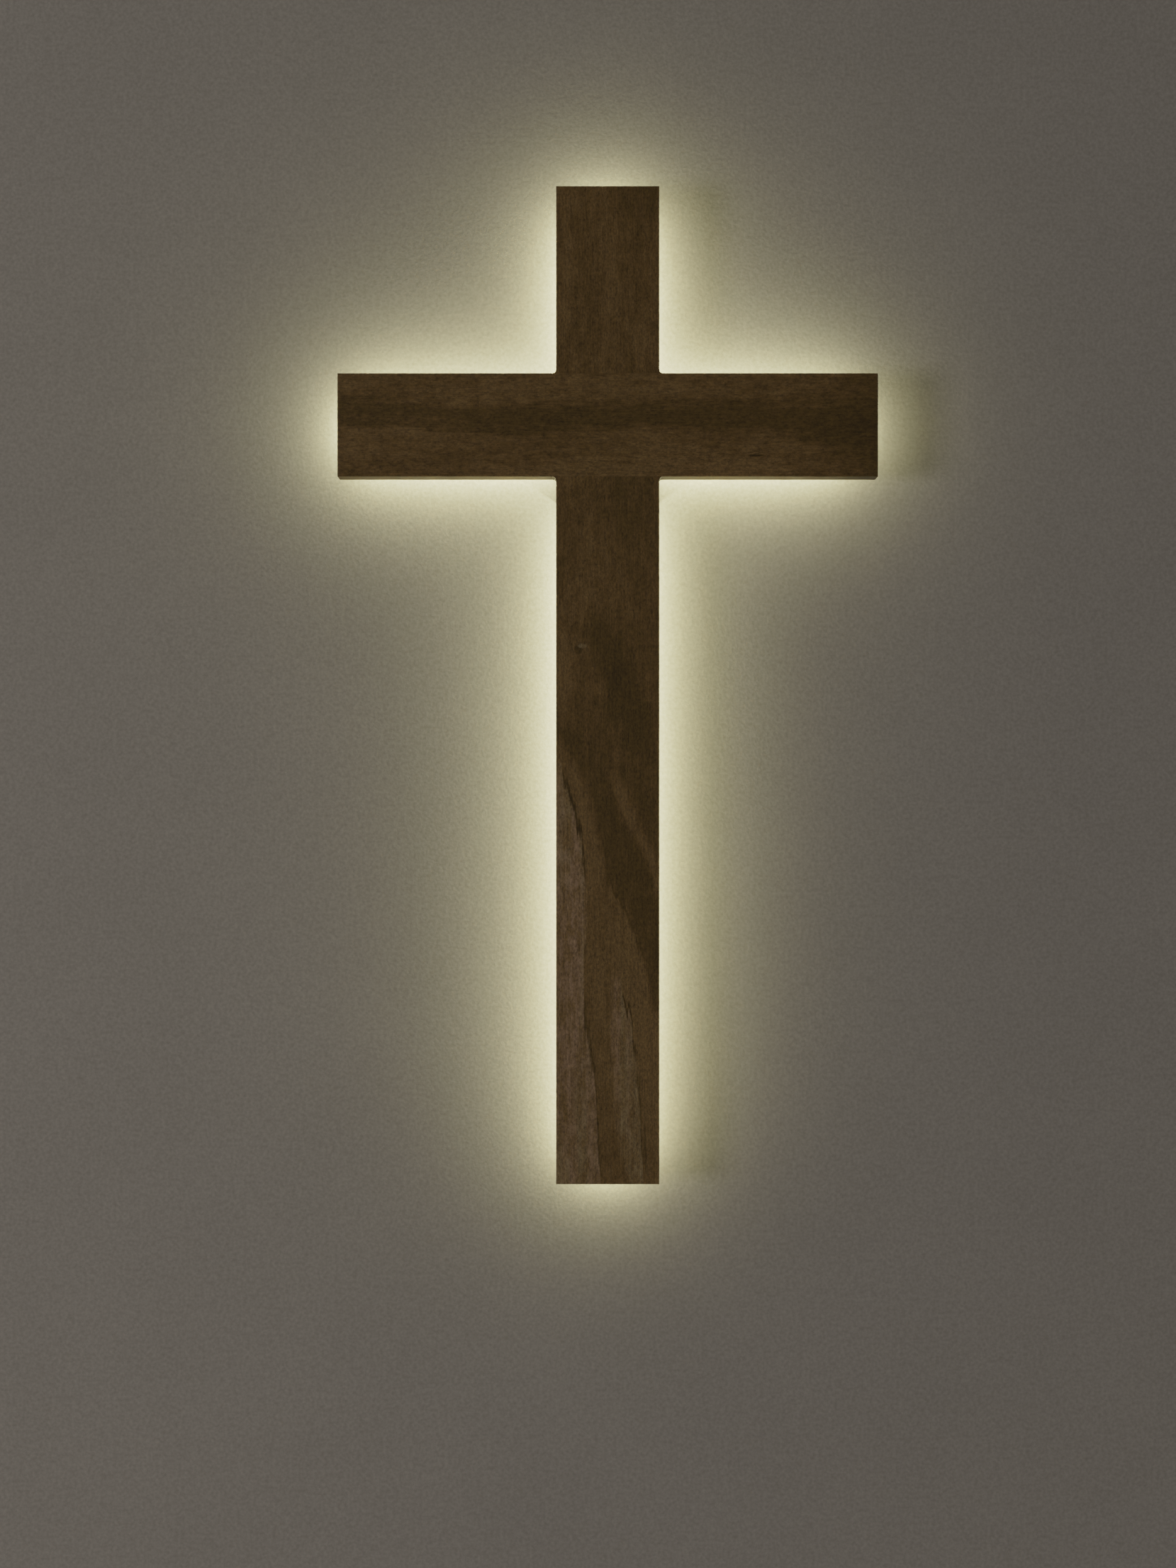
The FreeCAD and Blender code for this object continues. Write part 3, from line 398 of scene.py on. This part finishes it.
def metal(name, colour, roughness, brushed_along):
    """Plated metal, cloudy, and finely brushed along one axis (0 for X, 1 for Y, 2 for Z)."""
    s = Shader(name)
    spot, _ = s.place()
    brushing = s.stretched(spot, [0.4 if i == brushed_along else 9.0 for i in range(3)])
    brushed = s.noise(brushing, scale=1.0, detail=3)
    cloudy = s.noise(spot, scale=0.35, detail=4, roughness=0.6)
    tint = s.blend(s.remap(cloudy, 0.3, 0.7), colour, [c * 0.72 for c in colour])
    rough = s.plus(s.remap(brushed, 0.2, 0.8, roughness - 0.08, roughness + 0.1),
                   s.remap(cloudy, 0.4, 0.7, 0.0, 0.1))
    return s.finish(Base_Color=tint, Metallic=1.0, Roughness=rough, Normal=s.bump(brushed, 0.2, 0.00003))


WORN_PLASTIC = (0.045, 0.045, 0.047)


def plastic(name, colour, roughness, grain, depth):
    """Moulded plastic with a fine spark-eroded texture, dulled in patches by handling."""
    s = Shader(name)
    spot, _ = s.place()
    texture = s.noise(spot, scale=grain, detail=3, roughness=0.6)
    patches = s.noise(spot, scale=0.09, detail=3, roughness=0.55)
    specks = s.remap(s.noise(spot, scale=1.4, detail=2), 0.68, 0.76, 0.0, 0.35)
    tint = s.blend(s.remap(patches, 0.4, 0.75, 0.0, 0.25), colour, WORN_PLASTIC)
    tint = s.blend(specks, tint, WORN_PLASTIC)
    rough = s.remap(patches, 0.3, 0.7, roughness - 0.08, roughness + 0.08)
    return s.finish(Base_Color=tint, Roughness=rough, Normal=s.bump(texture, 0.45, depth),
                    Specular_IOR_Level=0.14)


# The printed tracks of a light strip, in millimetres: how far from its middle line the rails and the inner
# tracks run, half of each one's width, where in each segment the inner tracks lie, how far from each cut
# the rails stop, and half the width of the line that marks it.
RAIL_OFFSET, RAIL_HALF_WIDTH = 3.7, 0.685
INNER_OFFSET, INNER_HALF_WIDTH = 1.7, 0.485
INNER_MIDDLE, INNER_HALF_LENGTH = 12.5, 6.5
RAIL_STOP, CUT_HALF_WIDTH = 1.0, 0.125


def light_tape(arm):
    """White printed tape: two copper rails and the tracks between the parts just show through its white
    mask, and a thin dark line marks each cut."""
    s = Shader("light_tape_" + arm)
    spot, xyz = s.place()
    start = strip_place(arm, 0) / MM
    line = 0 if arm == "across" else 2
    forward = ARMS[arm][0][line]
    along = s.times(s.minus(xyz[line], start[line]), forward)
    across = s.gap(xyz[2 - line], start[2 - line])
    pitch = LED_PITCH / MM
    in_segment = s.times(s.math("FRACT", s.over(along, pitch)), pitch)
    from_cut = s.math("MINIMUM", in_segment, s.minus(pitch, in_segment))

    def within(distance, half_width, soft):
        """1 closer than half_width, and 0 further away, with a soft edge."""
        return s.remap(distance, half_width + soft, half_width - soft)

    rail = s.times(within(s.gap(across, RAIL_OFFSET), RAIL_HALF_WIDTH, 0.065),
                   s.remap(from_cut, RAIL_STOP, RAIL_STOP + 0.15))
    inner = s.times(within(s.gap(across, INNER_OFFSET), INNER_HALF_WIDTH, 0.065),
                    within(s.gap(in_segment, INNER_MIDDLE), INNER_HALF_LENGTH, 0.1))
    track = s.larger(rail, inner)
    cut = within(from_cut, CUT_HALF_WIDTH, 0.035)

    weave = s.noise(spot, scale=2.2, detail=2)
    faint = s.noise(spot, scale=0.16, detail=3)
    tint = s.blend(s.remap(faint, 0.3, 0.7), srgb(236, 233, 222), srgb(222, 216, 200))
    tint = s.blend(s.remap(weave, 0.62, 0.75, 0, 0.3), tint, srgb(205, 192, 165))
    tint = s.blend(s.times(track, 0.9), tint, srgb(214, 178, 132))
    tint = s.blend(cut, tint, srgb(40, 38, 36))
    height = s.plus(s.times(weave, 0.25), track)
    return s.finish(Base_Color=tint, Roughness=s.mix(track, 0.42, 0.3), Normal=s.bump(height, 0.8, 0.00004))


def package_plastic():
    """The white moulded body of a light package."""
    s = Shader("package_white")
    spot, _ = s.place()
    grain = s.noise(spot, scale=2.5, detail=2)
    tint = s.blend(s.remap(grain, 0.3, 0.7), srgb(240, 238, 228), srgb(226, 220, 204))
    return s.finish(Base_Color=tint, Roughness=0.3, Normal=s.bump(grain, 0.2, 0.00002))


GLOW = (1.0, 0.98, 0.53)
GLOW_STRENGTH = 30.0


def phosphor():
    """The yellow gel in a light package's window, lit."""
    s = Shader("phosphor_gel")
    spot, _ = s.place()
    tint = s.blend(s.noise(spot, scale=3.0, detail=3), srgb(246, 214, 120), srgb(236, 190, 84))
    return s.finish(Base_Color=tint, Roughness=0.2, Emission_Color=GLOW, Emission_Strength=GLOW_STRENGTH)


# Half the length of a resistor's black part, in millimetres.
GLAZE_HALF_LENGTH = 1.11


def resistor(arm):
    """A chip resistor: a black glazed body with tinned caps at the ends of its length."""
    s = Shader("resistor_" + arm)
    spot, xyz = s.place()
    length = 2 if arm == "across" else 0
    off = s.gap(xyz[length], middle("resistors_" + arm)[length] / MM)
    cap = s.remap(off, GLAZE_HALF_LENGTH - 0.03, GLAZE_HALF_LENGTH + 0.03)
    grain = s.noise(spot, scale=4.0, detail=2)
    glaze = s.blend(grain, (0.012, 0.012, 0.014), (0.03, 0.03, 0.035))
    tint = s.blend(cap, glaze, (0.72, 0.71, 0.68))
    rough = s.remap(cap, 0, 1, 0.35, 0.28)
    return s.finish(Base_Color=tint, Metallic=cap, Roughness=rough, Normal=s.bump(grain, 0.2, 0.00003))


def silicone(name, colour, dusty):
    """The soft insulation of a lead, with dust on it."""
    s = Shader(name)
    spot, _ = s.place()
    dust = s.noise(spot, scale=0.8, detail=4, roughness=0.6)
    tint = s.blend(s.remap(dust, 0.5, 0.8, 0.0, 0.5), colour, dusty)
    return s.finish(Base_Color=tint, Roughness=s.remap(dust, 0.3, 0.7, 0.36, 0.5),
                    Normal=s.bump(s.noise(spot, scale=2.5, detail=2), 0.15, 0.00003))


# A dry cell's sleeve: how much bare steel shows at its flat end and its nub end, in millimetres, and where
# on its length, as shares, the pale stripe and the gold band start.
BARE_BASE, BARE_SHOULDER = 0.68, 2.875
STRIPE_START, GOLD_START = 0.67, 0.70


def cell_wrap(node):
    """The printed sleeve of a dry cell in two plain bands, over the bright steel of its can."""
    s = Shader(node + "_wrap")
    spot, xyz = s.place()
    low, high = (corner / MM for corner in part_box(node))
    length = high.x - low.x
    from_base = s.minus(xyz[0], low.x)
    if node == "battery_cell_middle":
        from_base = s.minus(length, from_base)

    def past(place, soft):
        """1 further from the flat end than the place, and 0 before it, with a soft edge."""
        return s.remap(from_base, place - soft, place + soft)

    nub_end = length - BARE_SHOULDER
    sleeve = s.times(past(BARE_BASE, 0.02), s.remap(from_base, nub_end + 0.025, nub_end - 0.025))
    gold = past(length * GOLD_START + 0.025, 0.025)
    stripe = s.times(past(length * STRIPE_START + 0.025, 0.025),
                     s.remap(from_base, length * GOLD_START, length * GOLD_START - 0.05))
    worn = s.noise(spot, scale=0.7, detail=4, roughness=0.6)
    green = s.blend(s.remap(worn, 0.45, 0.8), srgb(24, 60, 44), srgb(44, 84, 64))
    tint = s.blend(gold, green, srgb(190, 140, 62))
    tint = s.blend(stripe, tint, srgb(228, 224, 210))
    tint = s.blend(sleeve, srgb(196, 194, 188), tint)
    return s.finish(Base_Color=tint, Metallic=s.remap(sleeve, 0, 1, 1.0, 0.0),
                    Roughness=s.remap(worn, 0.3, 0.8, 0.26, 0.42), Normal=s.bump(worn, 0.1, 0.00003))


def paint(nodes, material):
    """Give every slot of the named nodes the material."""
    for name in nodes:
        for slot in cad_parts[name].material_slots:
            slot.material = material


def dress_frame():
    """Paint every node of the frame."""
    paint(["crossbar"], wood("crossbar_wood", 0, "crossbar", crossbar_figure, STAINED_WOOD, 40.0))
    paint(["upright"], wood("upright_wood", 2, "upright", upright_figure, STAINED_WOOD, 7.0))
    paint(["hanging_block"], wood("block_wood", 0, "hanging_block", block_figure, BARE_WOOD, 90.0))
    paint(["keyhole_plate"], metal("zinc_plate", (0.80, 0.80, 0.76), 0.42, 0))
    paint(["hanging_block_screws", "keyhole_plate_screws", "battery_case_screws"],
          metal("screw_zinc", (0.70, 0.66, 0.52), 0.3, 1))
    paint(["contact_plates", "contact_springs", "switch_terminals"],
          metal("nickel", (0.72, 0.70, 0.65), 0.22, 2))
    paint(["switch_body"], metal("switch_can", (0.60, 0.60, 0.58), 0.34, 2))
    paint(["battery_case", "battery_cover"],
          plastic("case_black", (0.011, 0.011, 0.012), 0.62, 3.0, 0.00004))
    paint(["switch_slider"], plastic("slider_black", (0.022, 0.022, 0.024), 0.38, 5.0, 0.00002))
    for node in ("battery_cell_upper", "battery_cell_middle", "battery_cell_lower"):
        paint([node], cell_wrap(node))
    package, glow = package_plastic(), phosphor()
    for arm in ARMS:
        paint(["strip_" + arm], light_tape(arm))
        paint(["leds_" + arm], package)
        paint(["windows_" + arm], glow)
        paint(["resistors_" + arm], resistor(arm))
    red = silicone("lead_red", srgb(150, 22, 18), srgb(176, 60, 50))
    dark = silicone("lead_black", (0.012, 0.012, 0.013), (0.05, 0.05, 0.05))
    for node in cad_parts:
        if node.endswith("_red") or node == "lead_battery_positive":
            paint([node], red)
        elif node.endswith("_black"):
            paint([node], dark)


# ---------------------------------------------------------------- solder and copper pads

AROUND = 28
SMOOTH_ANGLE = math.radians(50)

# A fillet's section, as shares of its reach and its height, and its size at places along its length.
FILLET_SECTION = ((0, 0), (1, 0), (0.94, 0.07), (0.6, 0.2), (0.3, 0.46), (0.12, 0.8), (0, 1))
FILLET_ENDS = ((-1, 0.55), (-0.86, 0.88), (-0.5, 1), (0.5, 1), (0.86, 0.88), (1, 0.55))


class Mesh:
    """The points and faces of one small piece, which rides the cross."""

    def __init__(self):
        self.points = []
        self.faces = []

    def add(self, points, faces):
        first = len(self.points)
        self.points += points
        self.faces += [[first + i for i in face] for face in faces]

    def skin(self, rings):
        """A closed skin over rings of equally many points. Its two ends are closed by a face each."""
        around = len(rings[0])
        faces = [[r * around + i, r * around + (i + 1) % around,
                  (r + 1) * around + (i + 1) % around, (r + 1) * around + i]
                 for r in range(len(rings) - 1) for i in range(around)]
        faces.append(list(range(around))[::-1])
        faces.append([(len(rings) - 1) * around + i for i in range(around)])
        self.add([point for ring in rings for point in ring], faces)

    def mound(self, base, run, side, half_long, half_wide, height, profile, squareness=2.0, wobble=0.0):
        """A mound on the tape. profile lists how wide it is at each share of its height, and squareness is
        2 for an oval foot and more for one that is nearer a rectangle. wobble makes the foot uneven, in a
        way that differs from place to place."""
        turn = 900 * base.x + 700 * base.z
        rings = []
        for level, share in profile:
            ring = []
            for i in range(AROUND):
                angle = 2 * math.pi * i / AROUND
                c, n = math.cos(angle), math.sin(angle)
                reach = share * (1 + wobble * math.sin(3 * angle + turn))
                u = math.copysign(abs(c) ** (2 / squareness), c) * half_long * reach
                v = math.copysign(abs(n) ** (2 / squareness), n) * half_wide * reach
                ring.append(base + run * u + side * v + BACKWARD * height * level)
            rings.append(ring)
        self.skin(rings)

    def fillet(self, root, out, side, half_wide, reach, height):
        """A solder fillet that runs down from a part's side to the tape, rounded off at both its ends."""
        self.skin([[root + side * half_wide * place + out * reach * size * u + BACKWARD * height * size * v
                    for u, v in FILLET_SECTION] for place, size in FILLET_ENDS])

    def piece(self, name, material):
        """The mesh as a smooth piece of its own, with its faces turned outwards."""
        mesh = bpy.data.meshes.new(name)
        mesh.from_pydata(self.points, [], self.faces)
        made = bpy.data.objects.new(name, mesh)
        bpy.context.scene.collection.objects.link(made)
        mesh.materials.append(material)
        # Edit mode takes in every selected mesh, so nothing but this piece may be selected.
        bpy.ops.object.select_all(action="DESELECT")
        bpy.context.view_layer.objects.active = made
        made.select_set(True)
        bpy.ops.object.mode_set(mode="EDIT")
        bpy.ops.mesh.select_all(action="SELECT")
        bpy.ops.mesh.normals_make_consistent(inside=False)
        bpy.ops.object.mode_set(mode="OBJECT")
        bpy.ops.object.shade_smooth_by_angle(angle=SMOOTH_ANGLE)
        made.select_set(False)
        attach(made, "cross")


# How wide each mound is, as a share, at shares of its height.
FLAT_PAD = ((0, 1), (0.7, 0.97), (1, 0.9), (1.15, 0.5), (1.2, 0.1))
SOLDER_CONE = ((0, 1), (0.1, 0.93), (0.25, 0.76), (0.5, 0.6), (0.75, 0.5), (0.92, 0.36), (1, 0.12))
SOLDER_BEAD = ((0, 0.35), (0.12, 0.75), (0.35, 1), (0.65, 0.98), (0.88, 0.7), (1, 0.3))

# The pads at a cut line: their distance from the strip's middle line, half their length and width, their
# height, and how far the half pads at a strip's ends keep from its edge.
PAD_OFFSET = 3 * MM
PAD_HALF_LONG = 1.75 * MM
PAD_HALF_WIDE = 1.1 * MM
PAD_HEIGHT = 0.06 * MM
CUT_MARGIN = 0.15 * MM

# The solder round a part: how far it starts inside the part's side, then half its width, how far it
# reaches out and how high it climbs. A light package has feet at three places on each of two sides.
# CHIP_SHARE is half the width of a resistor's solder, as a share of the resistor's own width.
SUNK = 0.02 * MM
FOOT_PLACES = (-1.6 * MM, 0.0, 1.6 * MM)
FOOT_SIZE = (0.5 * MM, 0.62 * MM, 0.75 * MM)
CHIP_SHARE = 0.47
CHIP_REACH = 0.5 * MM
CHIP_HEIGHT = 0.42 * MM


def cut_pad(i, count):
    """The middle and the half length of the pads at a cut line. Those at a strip's two ends are halves."""
    cut = i * LED_PITCH
    if i == 0:
        return cut + CUT_MARGIN + PAD_HALF_LONG / 2, PAD_HALF_LONG / 2
    if i == count:
        return cut - CUT_MARGIN - PAD_HALF_LONG / 2, PAD_HALF_LONG / 2
    return cut, PAD_HALF_LONG


def solder_the_strips(copper, solder):
    """The pads at each cut line, in pairs, the feet of each light package, three on each of two sides,
    and the solder at both ends of each resistor."""
    for arm, (run, side) in ARMS.items():
        count = segment_count(arm)
        pads, feet = Mesh(), Mesh()
        for i in range(count + 1):
            place, half_long = cut_pad(i, count)
            for across in (-PAD_OFFSET, PAD_OFFSET):
                pads.mound(strip_place(arm, place, across), run, side, half_long, PAD_HALF_WIDE,
                           PAD_HEIGHT, FLAT_PAD, squareness=5)
        low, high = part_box("resistors_" + arm)
        chip_long = abs((high - low).dot(side))
        chip_wide = abs((high - low).dot(run)) - (count - 1) * LED_PITCH
        from_start = abs((middle("resistors_" + arm) - strip_place(arm, 0)).dot(run))
        first_chip = from_start - (count - 1) * LED_PITCH / 2
        for i in range(count):
            led = (i + 0.5) * LED_PITCH
            for out in (-1, 1):
                for across in FOOT_PLACES:
                    root = strip_place(arm, led + out * (LED_SIDE / 2 - SUNK), across)
                    feet.fillet(root, run * out, side, *FOOT_SIZE)
                chip = strip_place(arm, first_chip + i * LED_PITCH, out * (chip_long / 2 - SUNK))
                feet.fillet(chip, side * out, run, chip_wide * CHIP_SHARE, CHIP_REACH, CHIP_HEIGHT)
        pads.piece("pads_" + arm, copper)
        feet.piece("feet_" + arm, solder)


# The ends of leads that are soldered, on a pad or in the case. Each is the end that lies furthest along
# one axis (0 for X, 2 for Z), one way or the other.
ENDS_ON_PADS = (("feed_across_red", 2, 1), ("feed_across_black", 2, 1),
                ("jumper_upper_red", 2, -1), ("jumper_upper_black", 2, -1),
                ("jumper_upper_red", 0, -1), ("jumper_upper_black", 0, -1),
                ("feed_lower_red", 2, -1), ("feed_lower_black", 2, -1))
ENDS_IN_CASE = (("feed_across_red", 0, 1), ("feed_lower_red", 0, 1),
                ("lead_battery_positive", 2, 1), ("lead_battery_positive", 0, 1),
                ("feed_across_black", 0, -1), ("feed_lower_black", 0, -1))

# Half the length, half the width and the height of a joint of solder.
PAD_JOINT_SIZE = (1.55 * MM, 1.2 * MM, 1.35 * MM)
CASE_JOINT_SIZE = (0.85 * MM, 0.8 * MM, 1.5 * MM)

# The points of a lead that are this near to its furthest one make up its end.
END_DEPTH = 0.05 * MM


def tip(node, axis, sign):
    """The middle of the end of a lead that lies furthest one way."""
    points = [v.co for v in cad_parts[node].data.vertices]
    furthest = max(sign * p[axis] for p in points)
    near = [p for p in points if sign * p[axis] > furthest - END_DEPTH]
    return sum(near, Vector()) / len(near)


def solder_the_leads(solder):
    """A joint of solder over the end of each lead, on its pad or on its terminal in the case."""
    on_pads = Mesh()
    for node, axis, sign in ENDS_ON_PADS:
        end = tip(node, axis, sign)
        base = Vector((end.x, TAPE_FACE, end.z))
        run, side = (UP, RIGHT) if axis == 2 else (RIGHT, UP)
        on_pads.mound(base, run, side, *PAD_JOINT_SIZE, SOLDER_CONE, 2.3, wobble=0.06)
    on_pads.piece("solder_on_pads", solder)

    in_case = Mesh()
    half_height = CASE_JOINT_SIZE[2] / 2
    for node, axis, sign in ENDS_IN_CASE:
        foot = tip(node, axis, sign) - BACKWARD * half_height
        in_case.mound(foot, RIGHT, UP, *CASE_JOINT_SIZE, SOLDER_BEAD, wobble=0.08)
    in_case.piece("solder_in_case", solder)


# ---------------------------------------------------------------- stage

WALL_FACE = 0.0004
WALL_COLOUR = (0.315, 0.290, 0.264)
FLOOR_Z = UPRIGHT_FOOT - 0.33
ROOM = 3.0


def stage_plane(name, corners, material):
    """One flat sheet of the room."""
    mesh = bpy.data.meshes.new(name)
    mesh.from_pydata(corners, [], [(0, 1, 2, 3)])
    mesh.materials.append(material)
    made = bpy.data.objects.new(name, mesh)
    bpy.context.scene.collection.objects.link(made)


def wall_paint():
    """Pale matt wall, seen only from its room side and casting no shadow, so that it doesn't hide the
    cross's back and the lights behind it shine through."""
    s = Shader("wall_paint")
    spot, _ = s.place()
    grain = s.noise(spot, scale=0.5, detail=4, roughness=0.6)
    blotch = s.noise(spot, scale=0.012, detail=3)
    tint = s.blend(s.remap(blotch, 0.3, 0.7), WALL_COLOUR, [c * 0.97 for c in WALL_COLOUR])
    tint = s.shaded(tint, s.remap(grain, 0.3, 0.7, 0.86, 1.14, kind="LINEAR"))
    wall = s.add("BsdfDiffuse", {"Color": tint, "Normal": s.bump(grain, 0.35, 0.0004)}).outputs[0]
    clear = s.add("BsdfTransparent").outputs[0]
    ray = s.add("LightPath").outputs["Is Shadow Ray"]
    away = s.add("NewGeometry").outputs["Backfacing"]
    mix = s.add("MixShader", {0: s.larger(ray, away), 1: wall, 2: clear})
    s.tree.links.new(mix.outputs[0], s.output.inputs["Surface"])
    return s.material


def floor_paint():
    """Plain grey floor."""
    s = Shader("floor_paint")
    spot, _ = s.place()
    tint = s.blend(s.noise(spot, scale=0.004, detail=2), (0.42, 0.41, 0.39), (0.45, 0.44, 0.42))
    return s.finish(Base_Color=tint, Roughness=0.7)


def make_stage():
    """The wall just behind the cross, and a floor below it."""
    stage_plane("wall", [(-ROOM, WALL_FACE, FLOOR_Z), (ROOM, WALL_FACE, FLOOR_Z),
                         (ROOM, WALL_FACE, ROOM), (-ROOM, WALL_FACE, ROOM)], wall_paint())
    stage_plane("floor", [(-ROOM, -ROOM, FLOOR_Z), (ROOM, -ROOM, FLOOR_Z),
                          (ROOM, ROOM, FLOOR_Z), (-ROOM, ROOM, FLOOR_Z)], floor_paint())


def area_lamp(name, shape, size, power, colour, place, aim):
    """A flat lamp at a place, which faces the way of aim."""
    lamp = bpy.data.lights.new(name, "AREA")
    lamp.shape = shape
    lamp.size = size
    lamp.energy = power
    lamp.color = colour
    made = bpy.data.objects.new(name, lamp)
    made.location = place
    made.rotation_euler = aim.to_track_quat("-Z", "Y").to_euler()
    bpy.context.scene.collection.objects.link(made)
    return made


# The strips' own lamps: their size as a share of a window's, the gap in front of it, their power, the
# share of it that is missing at the far end of a run, and the way that they face.
LAMP_SHARE = 0.9
LAMP_GAP = 0.2 * MM
LAMP_POWER = 0.27
LAMP_FALL = 0.24
LAMP_AIM = Vector((-0.045, 1, 0.05))


def light_the_strips():
    """A small round lamp just in front of each window, which gives the light that the window shows. The
    lamps lean a little to the left and upwards, and are dimmer towards the far end of each run, so that
    the light on the wall is a little uneven."""
    height = LED_FACE - TAPE_FACE + LAMP_GAP
    for arm in ARMS:
        count = segment_count(arm)
        for i in range(count):
            from_feed = abs(2 * i / (count - 1) - 1) if arm == "across" else i / (count - 1)
            power = LAMP_POWER * (1 - LAMP_FALL * from_feed ** 2)
            place = strip_place(arm, (i + 0.5) * LED_PITCH, height=height)
            made = area_lamp(f"led_{arm}_{i}", "DISK", LAMP_SHARE * WINDOW_WIDTH, power, GLOW, place,
                             LAMP_AIM)
            made.visible_camera = False


# The room's soft lights: name, place, size, power and colour. All face the cross's middle.
SOFT_LIGHTS = (("key", (-2.45, -2.3, -0.46), 0.8, 36.0, (1.0, 0.96, 0.90)),
               ("fill", (1.6, -2.2, 1.0), 1.6, 4.0, (1.0, 0.97, 0.93)),
               ("back_left", (-1.2, 1.3, 0.7), 1.0, 16.0, (1.0, 0.98, 0.95)),
               ("back_right", (1.3, 1.2, 0.2), 1.0, 14.0, (1.0, 0.98, 0.95)))
CROSS_MIDDLE = Vector((0, 0, CROSSING.z - 0.15))


def make_lights():
    """The room's lights, and a faint even light from all round."""
    for name, place, size, power, colour in SOFT_LIGHTS:
        area_lamp(name, "SQUARE", size, power, colour, place, CROSS_MIDDLE - Vector(place))
    world = bpy.data.worlds.new("world")
    world.use_nodes = True
    back = world.node_tree.nodes["Background"]
    back.inputs["Color"].default_value = (1.0, 0.97, 0.92, 1)
    back.inputs["Strength"].default_value = 0.08
    bpy.context.scene.world = world


# ---------------------------------------------------------------- camera

CAMERA_DISTANCE = 1.6
SEEN_HEIGHT = 0.9425
NEAREST = 0.01
AIM = Vector((-0.01185, 0, CROSSING.z - 0.2159))


def make_camera():
    """Square on to the cross, a little left of it and well below the crossing, as the wall is seen."""
    data = bpy.data.cameras.new("camera")
    data.sensor_fit = "VERTICAL"
    data.angle_y = 2 * math.atan(SEEN_HEIGHT / 2 / CAMERA_DISTANCE)
    data.clip_start = NEAREST
    made = bpy.data.objects.new("camera", data)
    made.location = (AIM.x, FRONT - CAMERA_DISTANCE, AIM.z)
    made.rotation_euler = (math.pi / 2, 0, 0)
    bpy.context.scene.collection.objects.link(made)
    bpy.context.scene.camera = made


# How bright the film shows each brightness: true in the darks, with a soft shoulder for the halo.
FILM = ((0, 0), (0.12, 0.118), (0.21, 0.195), (0.42, 0.325), (0.8, 0.48), (1.3, 0.60), (2.4, 0.72),
        (4, 0.80))
COMBINED_CURVE = 3


def develop():
    """Set the film's curve. A view curve is only read from 0 to 1, so the white level brings the brightest
    light down to 1."""
    view = bpy.context.scene.view_settings
    view.view_transform = "Standard"
    view.use_curve_mapping = True
    curves = view.curve_mapping
    brightest = FILM[-1][0]
    curves.white_level = (brightest,) * 3
    line = curves.curves[COMBINED_CURVE]
    line.points[1].location = (1, FILM[-1][1])
    for light, shown in FILM[1:-1]:
        line.points.new(light / brightest, shown)
    curves.update()


make_camera()
dress_frame()
solder = metal("solder", (0.72, 0.72, 0.70), 0.24, 2)
solder_the_strips(metal("bare_copper", (0.80, 0.50, 0.24), 0.34, 0), solder)
solder_the_leads(solder)
make_stage()
make_lights()
light_the_strips()
develop()
